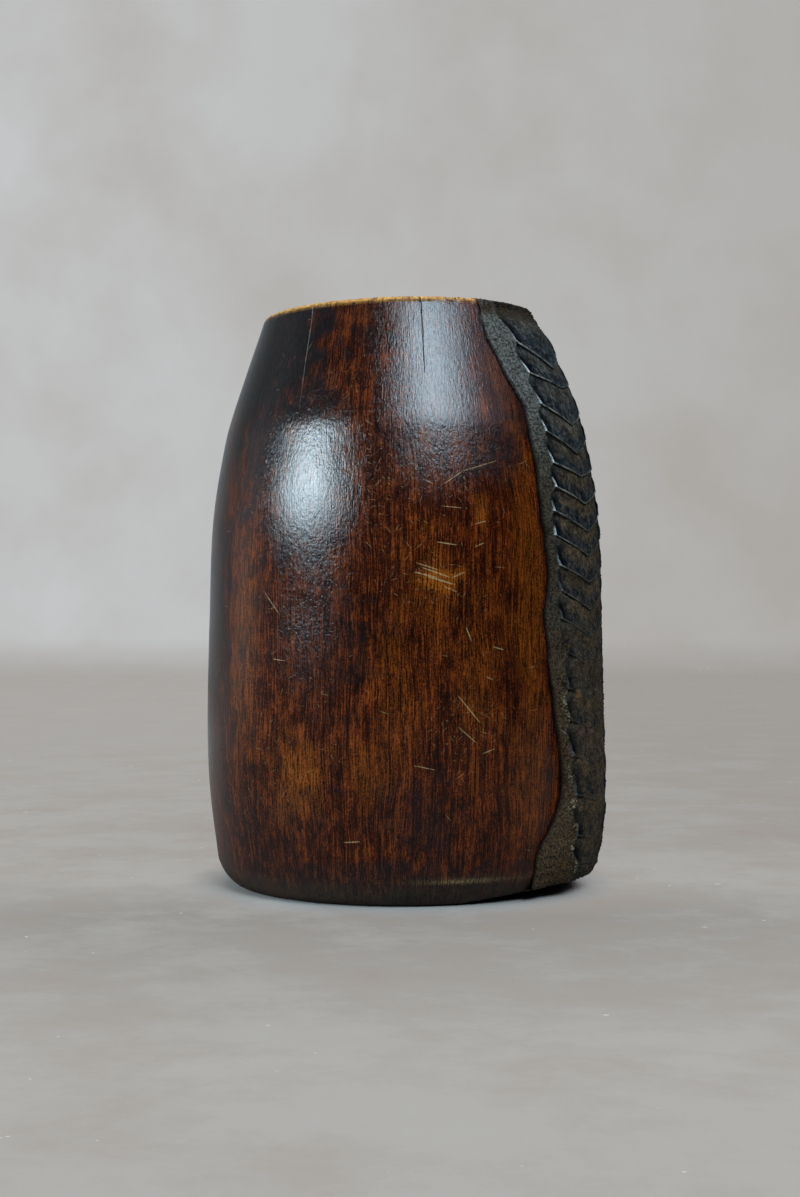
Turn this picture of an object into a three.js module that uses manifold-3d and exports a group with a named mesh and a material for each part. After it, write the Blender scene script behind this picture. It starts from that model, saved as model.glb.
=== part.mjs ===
// Milk container: a vessel carved from one block of wood, with one upright band of gritty resin
// that is cut into a stack of V-shaped shingles. Millimetres, +Z up, the flat underside on z = 0,
// the vessel's axis on the Z axis and the middle of the band on +X.
import * as THREE from 'three';
import { mergeVertices } from 'three/addons/utils/BufferGeometryUtils.js';
import Module from 'manifold-3d';

const wasm = await Module();
wasm.setup();

// Vessel: overall sizes
const vesselHeight = 210;
const bellyRadius = 72.2;
const bellyHeight = 60;
const footRadius = 58.5; // edge of the flat underside
const footEdgeHeight = 10.5; // top of the rounded foot edge
const footEdgeLean = 1.2; // how far the side leans out over the upper half of that edge

// How far the side stands in from the belly, from the foot edge up to the rim
const footEdgeInset = 4;
const lowBellyInset = 0.85;
const waistInset = 0.65;
const shoulderInset = 1.9;
const shoulderBendInset = 5.9;
const neckInset = 10.1;
const rimInset = 21.2;

// Heights measured down from the rim
const shoulderDrop = 78;
const shoulderBendDrop = 51;
const neckDrop = 34;

// Walls and edges
const wallThickness = 8.5;
const floorThickness = 13;
const cavityCornerRadius = 18;
const rimOuterRound = 1.2;
const rimInnerRound = 2;
const rimSlope = 0.027; // the rim rises towards the band by this much per millimetre
const rimSlopeReach = 60; // height below the rim over which that slope fades out
const heelCutStart = 39; // distance from the axis where the underside starts to lift
const heelCutSlope = 0.16;
const vesselFacets = 60;
const cavityRows = 13;

// Band of resin: sizes across the wood are arcs measured on its surface
const bandHalfWidth = 25.2;
const bandRise = 3.3; // how proud the band stands of the wood
const bandEdgeRise = 0.9; // thickness of resin at its pressed edge
const bandNeckThinning = 1.9;
const bandRimBevel = 3.6;
const bandRimBevelReach = 12;
const bandFootSwell = 2.9;
const bandFootSwellHeight = 18;
const bandFootSwellReach = 28;
const bandToeRound = 9; // how far the band's lower end rounds in
const bandToeHeight = 10;
const seatDepth = 0.8; // the wood under the band is pared back by this much
const seatRimDepth = 2.9; // and by this much more at the rim
const seatGap = 0.3;
const seatSideGap = 0.5;

// Where the hand-pressed edges of the band wander out or in: height from the foot or drop from the rim
const nearEdgeSwells = [
  { drop: 13, swell: 6.6, reach: 17 },
  { height: 114, swell: -1.4, reach: 8 },
  { height: 100, swell: 1, reach: 8 },
  { height: 42, swell: -8.2, reach: 15 },
  { height: 12, swell: 3.5, reach: 7 },
];
const farEdgeSwells = [
  { drop: 16, swell: 4.5, reach: 18 },
  { height: 130, swell: 1.2, reach: 12 },
  { height: 72, swell: -2, reach: 16 },
  { height: 26, swell: -3, reach: 12 },
];

// Shingles: the drop of each lower lip from the rim, spaced by eye like the hand-cut ones
const lipDrops = [
  15.2, 26.2, 36.8, 46.1, 57, 65.5, 74, 82.5, 93,
  102, 111.5, 123.5, 136, 147, 159.5, 173.5, 188, 198,
];
const lowPitch = 12.5; // spacing of any further lips on a taller vessel
const lowestLip = 11; // no lip is cut below this height
const panelHalfWidth = 20.6; // from the point of the V to the end of its arm
const panelFootInset = 9.5; // the arms are this much shorter at the foot
const panelTaperHeight = 105;
const panelTaperPower = 1.3;
const flankLeast = 2; // the flank beside the panel is never narrower than this
const panelScallop = 1.8; // each pocket reaches this much further out than its lip
const vDrop = 6; // the point of the V hangs this far below the ends of its arms
const pocketDepth = 1.6;
const pocketWall = 0.5; // run of the steep wall at the end of a pocket
const pointDepth = 0.6; // share of the pocket's depth that is left at the point of the V
const farArmWear = 0.5; // the far arms are worn to this share of the depth
const lipStep = 0.4; // height over which the face drops from a lip to the next shingle
const stepDepth = 0.7; // share of the pocket's depth just under a lip
const vFadeHeight = 20; // the V flattens out over this height above the foot

// A shingle's face from top to lip: share of its height above the lip, of the pocket's depth and its scallop
const faceRows = [
  { above: 0.55, depth: 1, widen: 1 },
  { above: 0.25, depth: 0.6, widen: 0.5 },
  { above: 0, depth: 0, widen: 0 },
];
const rimRowDrops = [0, 2.5, 5]; // rows above the first shingle
const toeRowStep = 1.8; // spacing of the rows below the last lip, close because the foot curves there
const toeRowDepth = 0.2;

const wood = new THREE.MeshStandardMaterial({ color: 0x3e1e12, roughness: 0.36, metalness: 0 });
wood.name = 'oiled_dark_wood';
const resin = new THREE.MeshStandardMaterial({ color: 0x33342f, roughness: 0.7, metalness: 0 });
resin.name = 'gritty_resin';

const smooth = (value) => THREE.MathUtils.smoothstep(value, 0, 1);
const bell = (distance, reach) => Math.exp(-((distance / reach) ** 2));

// The side of the vessel, from the foot edge to the rim, as radius and height
function makeSideCurve() {
  const station = (inset, height) => new THREE.Vector2(bellyRadius - inset, height);
  const shoulderHeight = vesselHeight - shoulderDrop;
  return new THREE.SplineCurve([
    station(footEdgeInset, footEdgeHeight),
    station(lowBellyInset, (footEdgeHeight + bellyHeight) / 2),
    station(0, bellyHeight),
    station(waistInset, (bellyHeight + shoulderHeight) / 2),
    station(shoulderInset, shoulderHeight),
    station(shoulderBendInset, vesselHeight - shoulderBendDrop),
    station(neckInset, vesselHeight - neckDrop),
    station(rimInset, vesselHeight),
  ]);
}

// The rounded foot edge, from the flat underside out to the side
function makeFootCurve() {
  const topRadius = bellyRadius - footEdgeInset;
  return new THREE.CubicBezierCurve(
    new THREE.Vector2(footRadius, 0),
    new THREE.Vector2((footRadius + topRadius) / 2, 0),
    new THREE.Vector2(topRadius - footEdgeLean, footEdgeHeight / 2),
    new THREE.Vector2(topRadius, footEdgeHeight),
  );
}

const sideCurve = makeSideCurve();
const footCurve = makeFootCurve();
const profileSamples = [...footCurve.getPoints(24), ...sideCurve.getPoints(240).slice(1)];

// Outer radius of the wood at a height, carried straight on above the rim and below the foot
function woodRadius(height) {
  const last = profileSamples.length - 1;
  let index = profileSamples.findIndex((point) => point.y > height);
  if (index < 0) index = last;
  index = Math.max(index, 1);
  const low = profileSamples[index - 1];
  const high = profileSamples[index];
  const share = Math.max((height - low.y) / (high.y - low.y), 0);
  return low.x + (high.x - low.x) * share;
}

// The rim was cut a little out of level, so the top of the vessel leans up towards the band
function leanRim(geometry) {
  const position = geometry.getAttribute('position');
  for (let i = 0; i < position.count; i++) {
    const height = position.getZ(i);
    const share = smooth((height - vesselHeight + rimSlopeReach) / rimSlopeReach);
    position.setZ(i, height + rimSlope * position.getX(i) * share);
  }
  return geometry;
}

// Turn a closed three.js geometry into a solid that can be cut
function toSolid(geometry) {
  const bare = geometry.clone();
  bare.deleteAttribute('normal');
  bare.deleteAttribute('uv');
  const merged = mergeVertices(bare, 1e-4);
  const source = merged.index.array;
  const triangles = [];
  for (let i = 0; i < source.length; i += 3) {
    const [a, b, c] = [source[i], source[i + 1], source[i + 2]];
    if (a !== b && b !== c && c !== a) triangles.push(a, b, c);
  }
  return new wasm.Manifold(new wasm.Mesh({
    numProp: 3,
    vertProperties: new Float32Array(merged.getAttribute('position').array),
    triVerts: new Uint32Array(triangles),
  }));
}

function toGeometry(solid) {
  const mesh = solid.getMesh();
  const geometry = new THREE.BufferGeometry();
  geometry.setAttribute('position', new THREE.BufferAttribute(mesh.vertProperties, 3));
  geometry.setIndex(new THREE.BufferAttribute(mesh.triVerts, 1));
  geometry.computeVertexNormals();
  return geometry;
}

// A closed shell over a grid of points, rows going up and columns going round towards +Y
function gridShell(rowCount, columnCount, front, back) {
  const positions = [];
  const indices = [];
  for (const place of [front, back]) {
    for (let row = 0; row < rowCount; row++) {
      for (let column = 0; column < columnCount; column++) {
        positions.push(...place(row, column));
      }
    }
  }
  const fore = (row, column) => row * columnCount + column;
  const rear = (row, column) => rowCount * columnCount + fore(row, column);
  const quad = (a, b, c, d) => indices.push(a, b, c, a, c, d);
  const right = columnCount - 1;
  const top = rowCount - 1;
  for (let row = 0; row < top; row++) {
    for (let column = 0; column < right; column++) {
      quad(fore(row, column), fore(row, column + 1), fore(row + 1, column + 1), fore(row + 1, column));
      quad(rear(row, column), rear(row + 1, column), rear(row + 1, column + 1), rear(row, column + 1));
    }
    quad(fore(row, right), rear(row, right), rear(row + 1, right), fore(row + 1, right));
    quad(fore(row, 0), fore(row + 1, 0), rear(row + 1, 0), rear(row, 0));
  }
  for (let column = 0; column < right; column++) {
    quad(fore(0, column), rear(0, column), rear(0, column + 1), fore(0, column + 1));
    quad(fore(top, column), fore(top, column + 1), rear(top, column + 1), rear(top, column));
  }
  const geometry = new THREE.BufferGeometry();
  geometry.setAttribute('position', new THREE.Float32BufferAttribute(positions, 3));
  geometry.setIndex(indices);
  return geometry;
}

// A point of the band or its seat, from an arc across the wood, a height and a radius
function onWood(arc, height, radius) {
  const angle = arc / woodRadius(height);
  return [radius * Math.cos(angle), radius * Math.sin(angle), height];
}

// Half-width of the band at a height, on the side towards -Y (near) or +Y (far)
function edgeArc(height, far) {
  const swells = far ? farEdgeSwells : nearEdgeSwells;
  let arc = bandHalfWidth;
  for (const { drop, height: rise, swell, reach } of swells) {
    const middle = drop === undefined ? rise : vesselHeight - drop;
    arc += swell * bell(height - middle, reach);
  }
  return arc;
}

function rimBevelShare(height) {
  return smooth((height - vesselHeight + bandRimBevelReach) / bandRimBevelReach);
}

// Radius of the pared wood under the band
function seatRadius(height) {
  return woodRadius(height) - seatDepth - seatRimDepth * rimBevelShare(height);
}

// How proud the uncut face of the band stands of the wood at a height
function bandThickness(height) {
  const neckShare = smooth((height - vesselHeight + neckDrop) / (neckDrop - bandRimBevelReach));
  const swell = bandFootSwell * bell(height - bandFootSwellHeight, bandFootSwellReach);
  return bandRise + swell - bandNeckThinning * neckShare - bandRimBevel * rimBevelShare(height);
}

// Outer radius of the band where it stands proud of the wood by the given amount
function bandRadius(height, proud) {
  const toe = bandToeRound * (Math.max(1 - height / bandToeHeight, 0) ** 2);
  return woodRadius(Math.max(height, bandToeHeight * 0.8)) + proud - toe * smooth(proud / bandRise);
}

// A slab under the slanting plane that lifts the underside below the band
function heelCut(lift) {
  const size = 400;
  const slab = new THREE.BoxGeometry(size, size, size);
  slab.translate(size / 2, 0, -size / 2);
  slab.rotateY(-Math.atan(heelCutSlope));
  slab.translate(heelCutStart, 0, lift);
  return toSolid(slab);
}

// Wood: one closed profile of foot, side, rim, cavity and floor, turned round the axis
function makeVessel() {
  const outline = [new THREE.Vector2(0, 0), ...footCurve.getPoints(5)];
  outline.push(...sideCurve.getPoints(20).slice(1, -1));

  const rim = new THREE.Path();
  const rimRadius = bellyRadius - rimInset;
  rim.absarc(rimRadius - rimOuterRound, vesselHeight - rimOuterRound, rimOuterRound, 0, Math.PI / 2, false);
  const innerTop = vesselHeight - rimInnerRound;
  const innerRoundRadius = rimRadius - wallThickness + rimInnerRound;
  rim.absarc(innerRoundRadius, innerTop, rimInnerRound, Math.PI / 2, Math.PI, false);
  outline.push(...rim.getPoints(2));

  const cornerTop = floorThickness + cavityCornerRadius;
  for (let row = 1; row <= cavityRows; row++) {
    const height = THREE.MathUtils.lerp(innerTop, cornerTop, row / cavityRows);
    outline.push(new THREE.Vector2(woodRadius(height) - wallThickness, height));
  }
  const corner = new THREE.Path();
  const floorRadius = woodRadius(cornerTop) - wallThickness - cavityCornerRadius;
  corner.absarc(floorRadius, cornerTop, cavityCornerRadius, 0, -Math.PI / 2, true);
  outline.push(...corner.getPoints(3).slice(1), new THREE.Vector2(0, floorThickness));

  const turned = new THREE.LatheGeometry(outline, vesselFacets);
  turned.rotateX(Math.PI / 2);
  return toSolid(leanRim(turned)).subtract(makeSeatCutter()).subtract(heelCut(0));
}

// The space that the band takes out of the wood, with its clearance
function makeSeatCutter() {
  const rowCount = 80;
  const columnCount = 9;
  const overshoot = 4;
  const place = (row, column, radiusAt) => {
    const height = THREE.MathUtils.lerp(-overshoot, vesselHeight + overshoot, row / (rowCount - 1));
    const share = (column / (columnCount - 1)) * 2 - 1;
    const arc = share * (edgeArc(height, share > 0) + seatSideGap);
    return onWood(arc, height, radiusAt(height));
  };
  const front = (row, column) => place(row, column, (height) => woodRadius(height) + overshoot);
  const back = (row, column) => place(row, column, seatRadius);
  return toSolid(leanRim(gridShell(rowCount, columnCount, front, back)));
}

// Heights of the lips from the top down, carried on to the foot
function lipHeights() {
  const drops = [...lipDrops];
  while (vesselHeight - drops.at(-1) - lowPitch > lowestLip) {
    drops.push(drops.at(-1) + lowPitch);
  }
  return drops.map((drop) => vesselHeight - drop).filter((height) => height > lowestLip);
}

// Rows of the band from the foot to the rim. Each shingle has the rows of its face and one just
// under its lip, where the next shingle starts.
function bandRows() {
  const rows = rimRowDrops.map((drop) => ({ height: vesselHeight - drop, depth: 0, widen: 0 }));
  let above = rows.at(-1).height;
  for (const lip of lipHeights()) {
    const pitch = above - lip;
    rows.push(...faceRows.map((row) => ({ ...row, height: lip + pitch * row.above })));
    rows.push({ height: lip - lipStep, depth: stepDepth, widen: 0 });
    above = lip - lipStep;
  }
  for (let height = above - toeRowStep; height > 0; height -= toeRowStep) {
    rows.push({ height, depth: toeRowDepth, widen: 0 });
  }
  rows.push({ height: 0, depth: 0, widen: 0 });
  return rows.reverse();
}

// Resin: flanks that slope up from the pressed edges to a crest, and the cut panel between them
function makeBand() {
  const rows = bandRows();
  const panelShares = [1, 0.7, 0.35, 0];
  const side = [{ flank: 1 }, { flank: 0.5 }, { flank: 0 }, ...panelShares.map((panel) => ({ panel }))];
  const columns = [
    ...side.map((column) => ({ ...column, far: false })),
    ...side.slice(0, -1).reverse().map((column) => ({ ...column, far: true })),
  ];

  const panelArc = (height) => {
    const taper = Math.max(1 - height / panelTaperHeight, 0) ** panelTaperPower;
    return panelHalfWidth - panelFootInset * taper;
  };

  const place = (rowIndex, columnIndex, front) => {
    const row = rows[rowIndex];
    const { flank, panel, far } = columns[columnIndex];
    const edge = edgeArc(row.height, far);
    const crest = Math.min(panelArc(row.height) + panelScallop * row.widen, edge - flankLeast);
    const wallFoot = crest - pocketWall;
    const arc = flank === undefined ? panel * wallFoot : THREE.MathUtils.lerp(crest, edge, flank);

    const signedArc = far ? arc : -arc;
    if (!front) return onWood(signedArc, row.height, seatRadius(row.height) + seatGap);

    const endShare = smooth((vesselHeight - row.height) / lipDrops[0]) * smooth(row.height / vFadeHeight);
    const hang = flank === undefined ? vDrop * endShare * (1 - panel) : 0;
    const height = row.height - hang;
    const full = bandThickness(height);
    if (flank !== undefined) {
      return onWood(signedArc, height, bandRadius(height, THREE.MathUtils.lerp(full, bandEdgeRise, flank)));
    }
    const wear = far ? farArmWear : 1;
    const across = THREE.MathUtils.lerp(pointDepth, 1, panel) * THREE.MathUtils.lerp(1, wear, panel);
    const cut = pocketDepth * row.depth * across;
    return onWood(signedArc, height, bandRadius(height, full - cut));
  };

  const shell = gridShell(
    rows.length,
    columns.length,
    (row, column) => place(row, column, true),
    (row, column) => place(row, column, false),
  );
  return toSolid(leanRim(shell)).subtract(heelCut(seatGap));
}

function namedMesh(name, solid, material) {
  const mesh = new THREE.Mesh(toGeometry(solid), material);
  mesh.name = name;
  return mesh;
}

const milkContainer = new THREE.Group();
milkContainer.add(namedMesh('wooden_vessel', makeVessel(), wood));
milkContainer.add(namedMesh('resin_band', makeBand(), resin));

export default milkContainer;
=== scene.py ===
import math
import bpy
import numpy as np
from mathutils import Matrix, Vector


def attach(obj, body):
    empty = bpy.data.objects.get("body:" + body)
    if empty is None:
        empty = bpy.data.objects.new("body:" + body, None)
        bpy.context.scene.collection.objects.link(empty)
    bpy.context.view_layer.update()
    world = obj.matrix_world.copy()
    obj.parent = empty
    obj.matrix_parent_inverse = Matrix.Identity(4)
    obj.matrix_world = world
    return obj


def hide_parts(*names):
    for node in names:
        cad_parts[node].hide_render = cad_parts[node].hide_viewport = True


# Milk container: a vessel carved from one block of wood, with one upright band of gritty resin cut
# into V-shaped shingles. Sizes are in millimetres and angles in degrees, turned round the vessel's
# axis from the middle of the band. A minus angle is the side that the camera sees.
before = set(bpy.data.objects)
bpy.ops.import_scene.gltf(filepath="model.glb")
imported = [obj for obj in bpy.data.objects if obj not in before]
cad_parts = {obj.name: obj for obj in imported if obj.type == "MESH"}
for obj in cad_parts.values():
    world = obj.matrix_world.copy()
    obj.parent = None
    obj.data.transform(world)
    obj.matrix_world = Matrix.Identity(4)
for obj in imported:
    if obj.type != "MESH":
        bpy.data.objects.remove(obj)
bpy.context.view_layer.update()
mm = 0.001

vessel = {
    "height": 210, "bellyRadius": 72.2, "footRadius": 58.5,
    "footEdgeHeight": 10.5, "footEdgeLean": 1.2,
    "wall": 8.5, "floor": 13, "cavityCorner": 18, "rimOuterRound": 1.2, "rimInnerRound": 2,
    "rimSlope": 0.027, "rimSlopeReach": 60,     # the rim rises towards the band
    "heelCutStart": 39, "heelCutSlope": 0.16,   # the underside lifts below the band
    "columns": 372, "sideRows": 166, "cavityRows": 34,
    "carvedWaves": 0.1,       # low swells left by the carver's scraper
    "waveLength": 34, "fineWaveLength": 13, "scrapedOff": 0.16,
    "footFlatHeight": 9.6, "footFlatDepth": 1.1,
    "gougeDepth": 0.28,       # tool marks inside, deeper than the outside ever kept
    "gouges": 42, "gougeLength": 30, "fineGougeLength": 16,
    "rimDents": 0.35,
}

# How far the side stands in from the belly: height, inset
sideStations = [
    (10.5, 4), (35.25, 0.85), (60, 0), (96, 0.65), (132, 1.9), (159, 5.9), (176, 10.1), (210, 21.2),
]

band = {
    "rise": 3.3, "edgeRise": 1.15, "edgeRound": 0.9, "leastFlank": 2.2, "flankCurve": 1.3,
    "footSwell": 2.9, "footSwellHeight": 18,
    "footSwellReach": 28, "neckDrop": 34, "neckThinning": 1.9, "rimBevel": 3.6, "rimBevelReach": 12,
    "toeRound": 9, "toeHeight": 10, "farHalfWidth": 25.2,
    "seatDepth": 0.8, "seatRimDepth": 2.9, "seatGap": 0.3, "backGap": 0.15, "seatInset": 1.4,
    "pocketDepth": 1.5, "pointShare": 0.55, "farArmWear": 0.55, "scallop": 2.2, "lipUndercut": 0.3,
    "burrHeight": 0.5, "burrWidth": 0.9,
    "gritHeight": 0.16, "gritSize": 0.9,    # real grit is about 0.4 mm; made coarser so that the mesh can hold it
    "lumpHeight": 0.2, "lumpsPerMetre": 190.0, "pitDepth": 0.9, "pitsPerMetre": 330.0, "wornSpotsPerMetre": 110.0,
    "grainRadius": 0.3, "grainsPerSquareCm": 50, "seed": 7,
    "toeRows": 24,
    # where the rows of one shingle's face lie, and the columns of a flank and of half the panel
    "faceRows": [0, 0.04, 0.1, 0.17, 0.25, 0.33, 0.41, 0.49, 0.57, 0.65, 0.72, 0.79, 0.85, 0.9, 0.94, 0.97, 0.985],
    "flankShares": [
        1, 0.985, 0.95, 0.9, 0.84, 0.77, 0.7, 0.63, 0.56, 0.49, 0.42, 0.35, 0.28, 0.21, 0.15, 0.1, 0.06, 0.03, 0,
    ],
    "panelShares": [0.985, 0.965, 0.94, 0.91, 0.87] + list(np.linspace(0.83, 0, 30)),
}

# The pressed edge of the band on the side that shows: height, distance from the band's middle
nearEdge = [
    (0, 25.6), (11, 26.6), (15, 27), (20, 25), (23, 22.4), (28, 19.9), (33.5, 17.6), (40, 17.1), (46, 17.7),
    (52, 18.9), (60, 21.1), (67, 22.5), (72, 23.1), (78, 24.5), (83, 24.7), (89, 25.4), (96, 26.1),
    (103, 26), (108, 25), (114, 23.9), (119, 24.4), (125, 24.9), (133, 25.6), (145, 25.5), (152, 25.1),
    (163, 25.4), (170, 24.9), (175, 25.7), (181, 28.8), (188, 30.2), (193, 31.3), (198, 31.9),
    (204, 30.7), (210, 30.4),
]

# The edge that doesn't show: height, how much it swells out, over what reach
farSwells = [(194, 4.5, 18), (130, 1.2, 12), (72, -2, 16), (26, -3, 12)]

# Where the shingles end on that side: height, distance from the band's middle
farCrests = [(0, 11), (20, 13), (50, 17.5), (105, 20.6), (210, 20.6)]

# Shingles from the rim down: drop of the lip's outer corner below the rim, its distance from the
# band's middle, and how far the point of the V hangs below it
shingles = [
    (15.2, 19.6, 7.4), (26.2, 19.4, 3.3), (36.8, 18.7, 5.7), (46.1, 19.7, 6.4), (57, 18.7, 3.8), (65.5, 19.6, 5.1),
    (74, 22.1, 6.5), (82.5, 23.2, 6.8), (93, 20.7, 5.7), (102, 20.1, 6.4), (111.5, 20.4, 6.9),
    (123.5, 17.1, 5.8), (136, 17.6, 4.5), (147, 17.2, 4.2), (159.5, 17.1, 3.6), (173.5, 14.1, 3),
    (188, 12, 2), (198, 10.9, 1),
]

# Cracks in the wood, with the angle and height of each end. One is filled with pale dirt
cracks = [
    {"top": (-101.8, 211), "bottom": (-98.8, 171), "halfWidth": 0.22, "depth": 0.14, "filled": 1},
    {"top": (-57.4, 213), "bottom": (-57.2, 183), "halfWidth": 0.26, "depth": 0.5, "filled": 0},
]

# Patches of colour worn or rubbed into the wood, the dark ones' grey partly a painted sheen and one gold patch a
# painted sheen: angle, height, half-sizes in mm, strength
darkPatches = [
    (-118, 192, 34, 30, 1.1), (-76, 178, 16, 22, 0.3), (-112, 178, 26, 34, 0.9), (-74, 195, 9, 9, 0.55),
    (-35, 157, 12, 10, 0.6), (-88, 93, 18, 18, 0.4), (-61, 31, 12, 12, 0.45), (-98, 172, 18, 22, 0.7),
    (-93, 146, 15, 33, 0.8), (-51, 190, 11, 24, 0.75), (-60, 172, 22, 26, 0.3), (-27, 186, 12, 24, 0.5),
    (-72, 140, 12, 30, 0.2), (-106, 26, 22, 14, 0.35), (-138, 110, 20, 70, 0.7), (-84, 8, 80, 8, 0.55),
    (-80, 203, 20, 9, 0.45), (60, 170, 40, 40, 0.6), (110, 60, 30, 40, 0.5), (170, 150, 40, 50, 0.6),
    (200, 40, 30, 30, 0.45), (75, 30, 30, 20, 0.4),
]
# Golden rubbed wood; the patch at -95 degrees, 42 mm paints a sheen low on the left
rubbedAndSheenPatches = [
    (-30, 186, 4, 24, 0.45), (-27, 160, 3, 18, 0.4), (-55, 108, 7, 16, 0.25), (-42, 134, 3, 5, 0.5),
    (-54.5, 112, 7, 4, 1.2), (-26, 100, 7, 52, 0.4), (-27, 42, 8, 24, 0.3), (-117, 91, 8, 34, 0.35),
    (-95, 42, 9, 13, 0.6), (-74, 44, 6, 9, 0.3),
    (-44, 78, 7, 26, 0.25), (-79, 204, 17, 4, 0.12), (-67, 70, 6, 30, 0.2), (40, 90, 12, 50, 0.35),
    (150, 80, 20, 40, 0.35), (95, 130, 14, 26, 0.3), (-170, 60, 18, 34, 0.3),
]

# Places round the foot edge where it was worn off: angle, reach in degrees, strength. First the flat worn
# under the edge, then the pale line along it, which is worn wood and a painted highlight on the edge
footFlats = [(-46, 26, 1), (-120, 40, 0.5)]
footPaleLines = [(-46, 12, 1), (-17, 6, 0.7), (100, 30, 0.3)]

# Places where small scratches crowd together
scuffPatches = [
    (-78, 148, 14, 22, 1), (-57, 150, 16, 14, 0.7), (-66, 128, 12, 12, 0.5), (-56, 113, 14, 9, 0.9),
    (-46, 60, 12, 16, 0.7), (-100, 70, 16, 30, 0.3), (80, 140, 20, 30, 0.6), (160, 100, 20, 30, 0.6),
]

# Scratches: angle and height of each end, and width
scratches = [
    (-52.8, 144.3, -47, 148.9, 0.22), (-47, 148.9, -36.1, 152.7, 0.2), (-58.8, 146, -55.7, 144.3, 0.2),
    (-53.6, 136.8, -47.8, 136.2, 0.2), (-44.1, 130.8, -40.7, 131.9, 0.22), (-55.1, 124.6, -49.5, 123.6, 0.3),
    (-44.3, 123, -41.5, 124.4, 0.26), (-60.7, 117.5, -54.9, 115.2, 0.3), (-61.5, 114.5, -54.5, 112.3, 0.42),
    (-59.4, 116, -51.4, 112.6, 0.36), (-57.8, 112.9, -50.2, 110.2, 0.42), (-53.4, 109.6, -49.6, 107.8, 0.3),
    (-51, 112.5, -47.3, 114.5, 0.36), (-47.1, 95.9, -45.4, 90.8, 0.26), (-39.1, 89.1, -35.7, 88, 0.3),
    (-41.3, 78.9, -39.2, 77.9, 0.24), (-49.5, 72.7, -43.2, 63.4, 0.3), (-49.5, 62.2, -44.4, 56.7, 0.26),
    (-42.4, 52.9, -38.7, 54.4, 0.3), (-61.5, 49.3, -55.9, 47.8, 0.2), (-107, 108.2, -100.8, 99.9, 0.22),
    (-102.9, 84.7, -98.6, 84.1, 0.22), (-81.3, 22.8, -76.4, 23.3, 0.3), (-95.2, 160.8, -94.2, 160.2, 0.4),
    (-82.4, 163.9, -81.4, 163.3, 0.4),
]


def smooth(value):
    share = np.clip(value, 0, 1)
    return share * share * (3 - 2 * share)


def bell(distance, reach):
    return np.exp(-(distance / reach) ** 2)


def blend(start, end, share):
    return start + (end - start) * share


# A smooth random surface from -1 to 1 that repeats after `wrap` cells across
def wander(across, up, wrap, seed):
    knots = np.random.default_rng(seed).uniform(-1, 1, (wrap, 512))
    column = np.floor(across).astype(int)
    row = np.floor(up).astype(int)
    s = smooth(across - column)
    t = smooth(up - row)
    left, right = column % wrap, (column + 1) % wrap
    low, high = row % 512, (row + 1) % 512
    bottom = blend(knots[left, low], knots[right, low], s)
    top = blend(knots[left, high], knots[right, high], s)
    return blend(bottom, top, t)


# Side of the vessel as samples of height and radius: a curve through the stations, over the rounded foot edge
def sideSamples():
    points = [(vessel["bellyRadius"] - inset, height) for height, inset in sideStations]
    topRadius = points[0][0]
    samples = []
    corners = [
        (vessel["footRadius"], 0),
        ((vessel["footRadius"] + topRadius) / 2, 0),
        (topRadius - vessel["footEdgeLean"], vessel["footEdgeHeight"] / 2),
        (topRadius, vessel["footEdgeHeight"]),
    ]
    for t in np.linspace(0, 1, 25):
        weights = [(1 - t) ** 3, 3 * t * (1 - t) ** 2, 3 * t * t * (1 - t), t ** 3]
        samples.append([sum(w * c[axis] for w, c in zip(weights, corners)) for axis in (0, 1)])
    last = len(points) - 1
    for t in np.linspace(0, last, 400)[1:]:
        index = min(int(t), last - 1)
        share = t - index
        near = [np.array(points[min(max(index + step, 0), last)]) for step in (-1, 0, 1, 2)]
        before, after = (near[2] - near[0]) / 2, (near[3] - near[1]) / 2
        cubic = (2 * near[1] - 2 * near[2] + before + after) * share ** 3
        square = (-3 * near[1] + 3 * near[2] - 2 * before - after) * share ** 2
        samples.append(list(cubic + square + before * share + near[1]))
    return np.array(samples)


samples = sideSamples()


def woodRadius(height):
    return np.interp(height, samples[:, 1], samples[:, 0])


def leanRim(x, height):
    share = smooth((height - vessel["height"] + vessel["rimSlopeReach"]) / vessel["rimSlopeReach"])
    return height + vessel["rimSlope"] * x * share


# Lift what lies under the slanting plane below the band onto that plane
def liftHeel(x, height, gap=0.0):
    return np.maximum(height, (x - vessel["heelCutStart"]) * vessel["heelCutSlope"] + gap)


def edgeArc(height, far):
    if far:
        arc = band["farHalfWidth"] + 0 * height
        for middle, swell, reach in farSwells:
            arc = arc + swell * bell(height - middle, reach)
        return arc + 0.5 * wander(0 * height, height / 9, 4, 31)
    heights, arcs = np.array(nearEdge).T
    wiggle = 0.35 * wander(0 * height, height / 4, 4, 32)
    spread = np.mean([np.interp(height + step, heights, arcs) for step in (-1.5, 0, 1.5)], axis=0)
    return spread + wiggle


def rimShare(height):
    return smooth((height - vessel["height"] + band["rimBevelReach"]) / band["rimBevelReach"])


def seatRadius(height):
    return woodRadius(height) - band["seatDepth"] - band["seatRimDepth"] * rimShare(height)


# A smooth-shaded mesh from points in millimetres, with one attribute for each list of values
def makeObject(name, points, faces, values):
    mesh = bpy.data.meshes.new(name)
    mesh.from_pydata((np.asarray(points) * mm).tolist(), [], faces)
    for key, value in values.items():
        layer = mesh.attributes.new(key, "FLOAT", "POINT")
        layer.data.foreach_set("value", np.asarray(value, np.float32).ravel())
    mesh.polygons.foreach_set("use_smooth", [True] * len(mesh.polygons))
    mesh.validate()
    mesh.update()
    made = bpy.data.objects.new(name, mesh)
    bpy.context.scene.collection.objects.link(made)
    return made


# A UV map in millimetres round the vessel and up it
def unrolledMap(made, across, up):
    layer = made.data.uv_layers.new(name="unrolled")
    corner = np.empty(len(made.data.loops), int)
    made.data.loops.foreach_get("vertex_index", corner)
    layer.uv.foreach_set("vector", np.stack([across[corner], up[corner]], axis=1).astype(np.float32).ravel())


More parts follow.
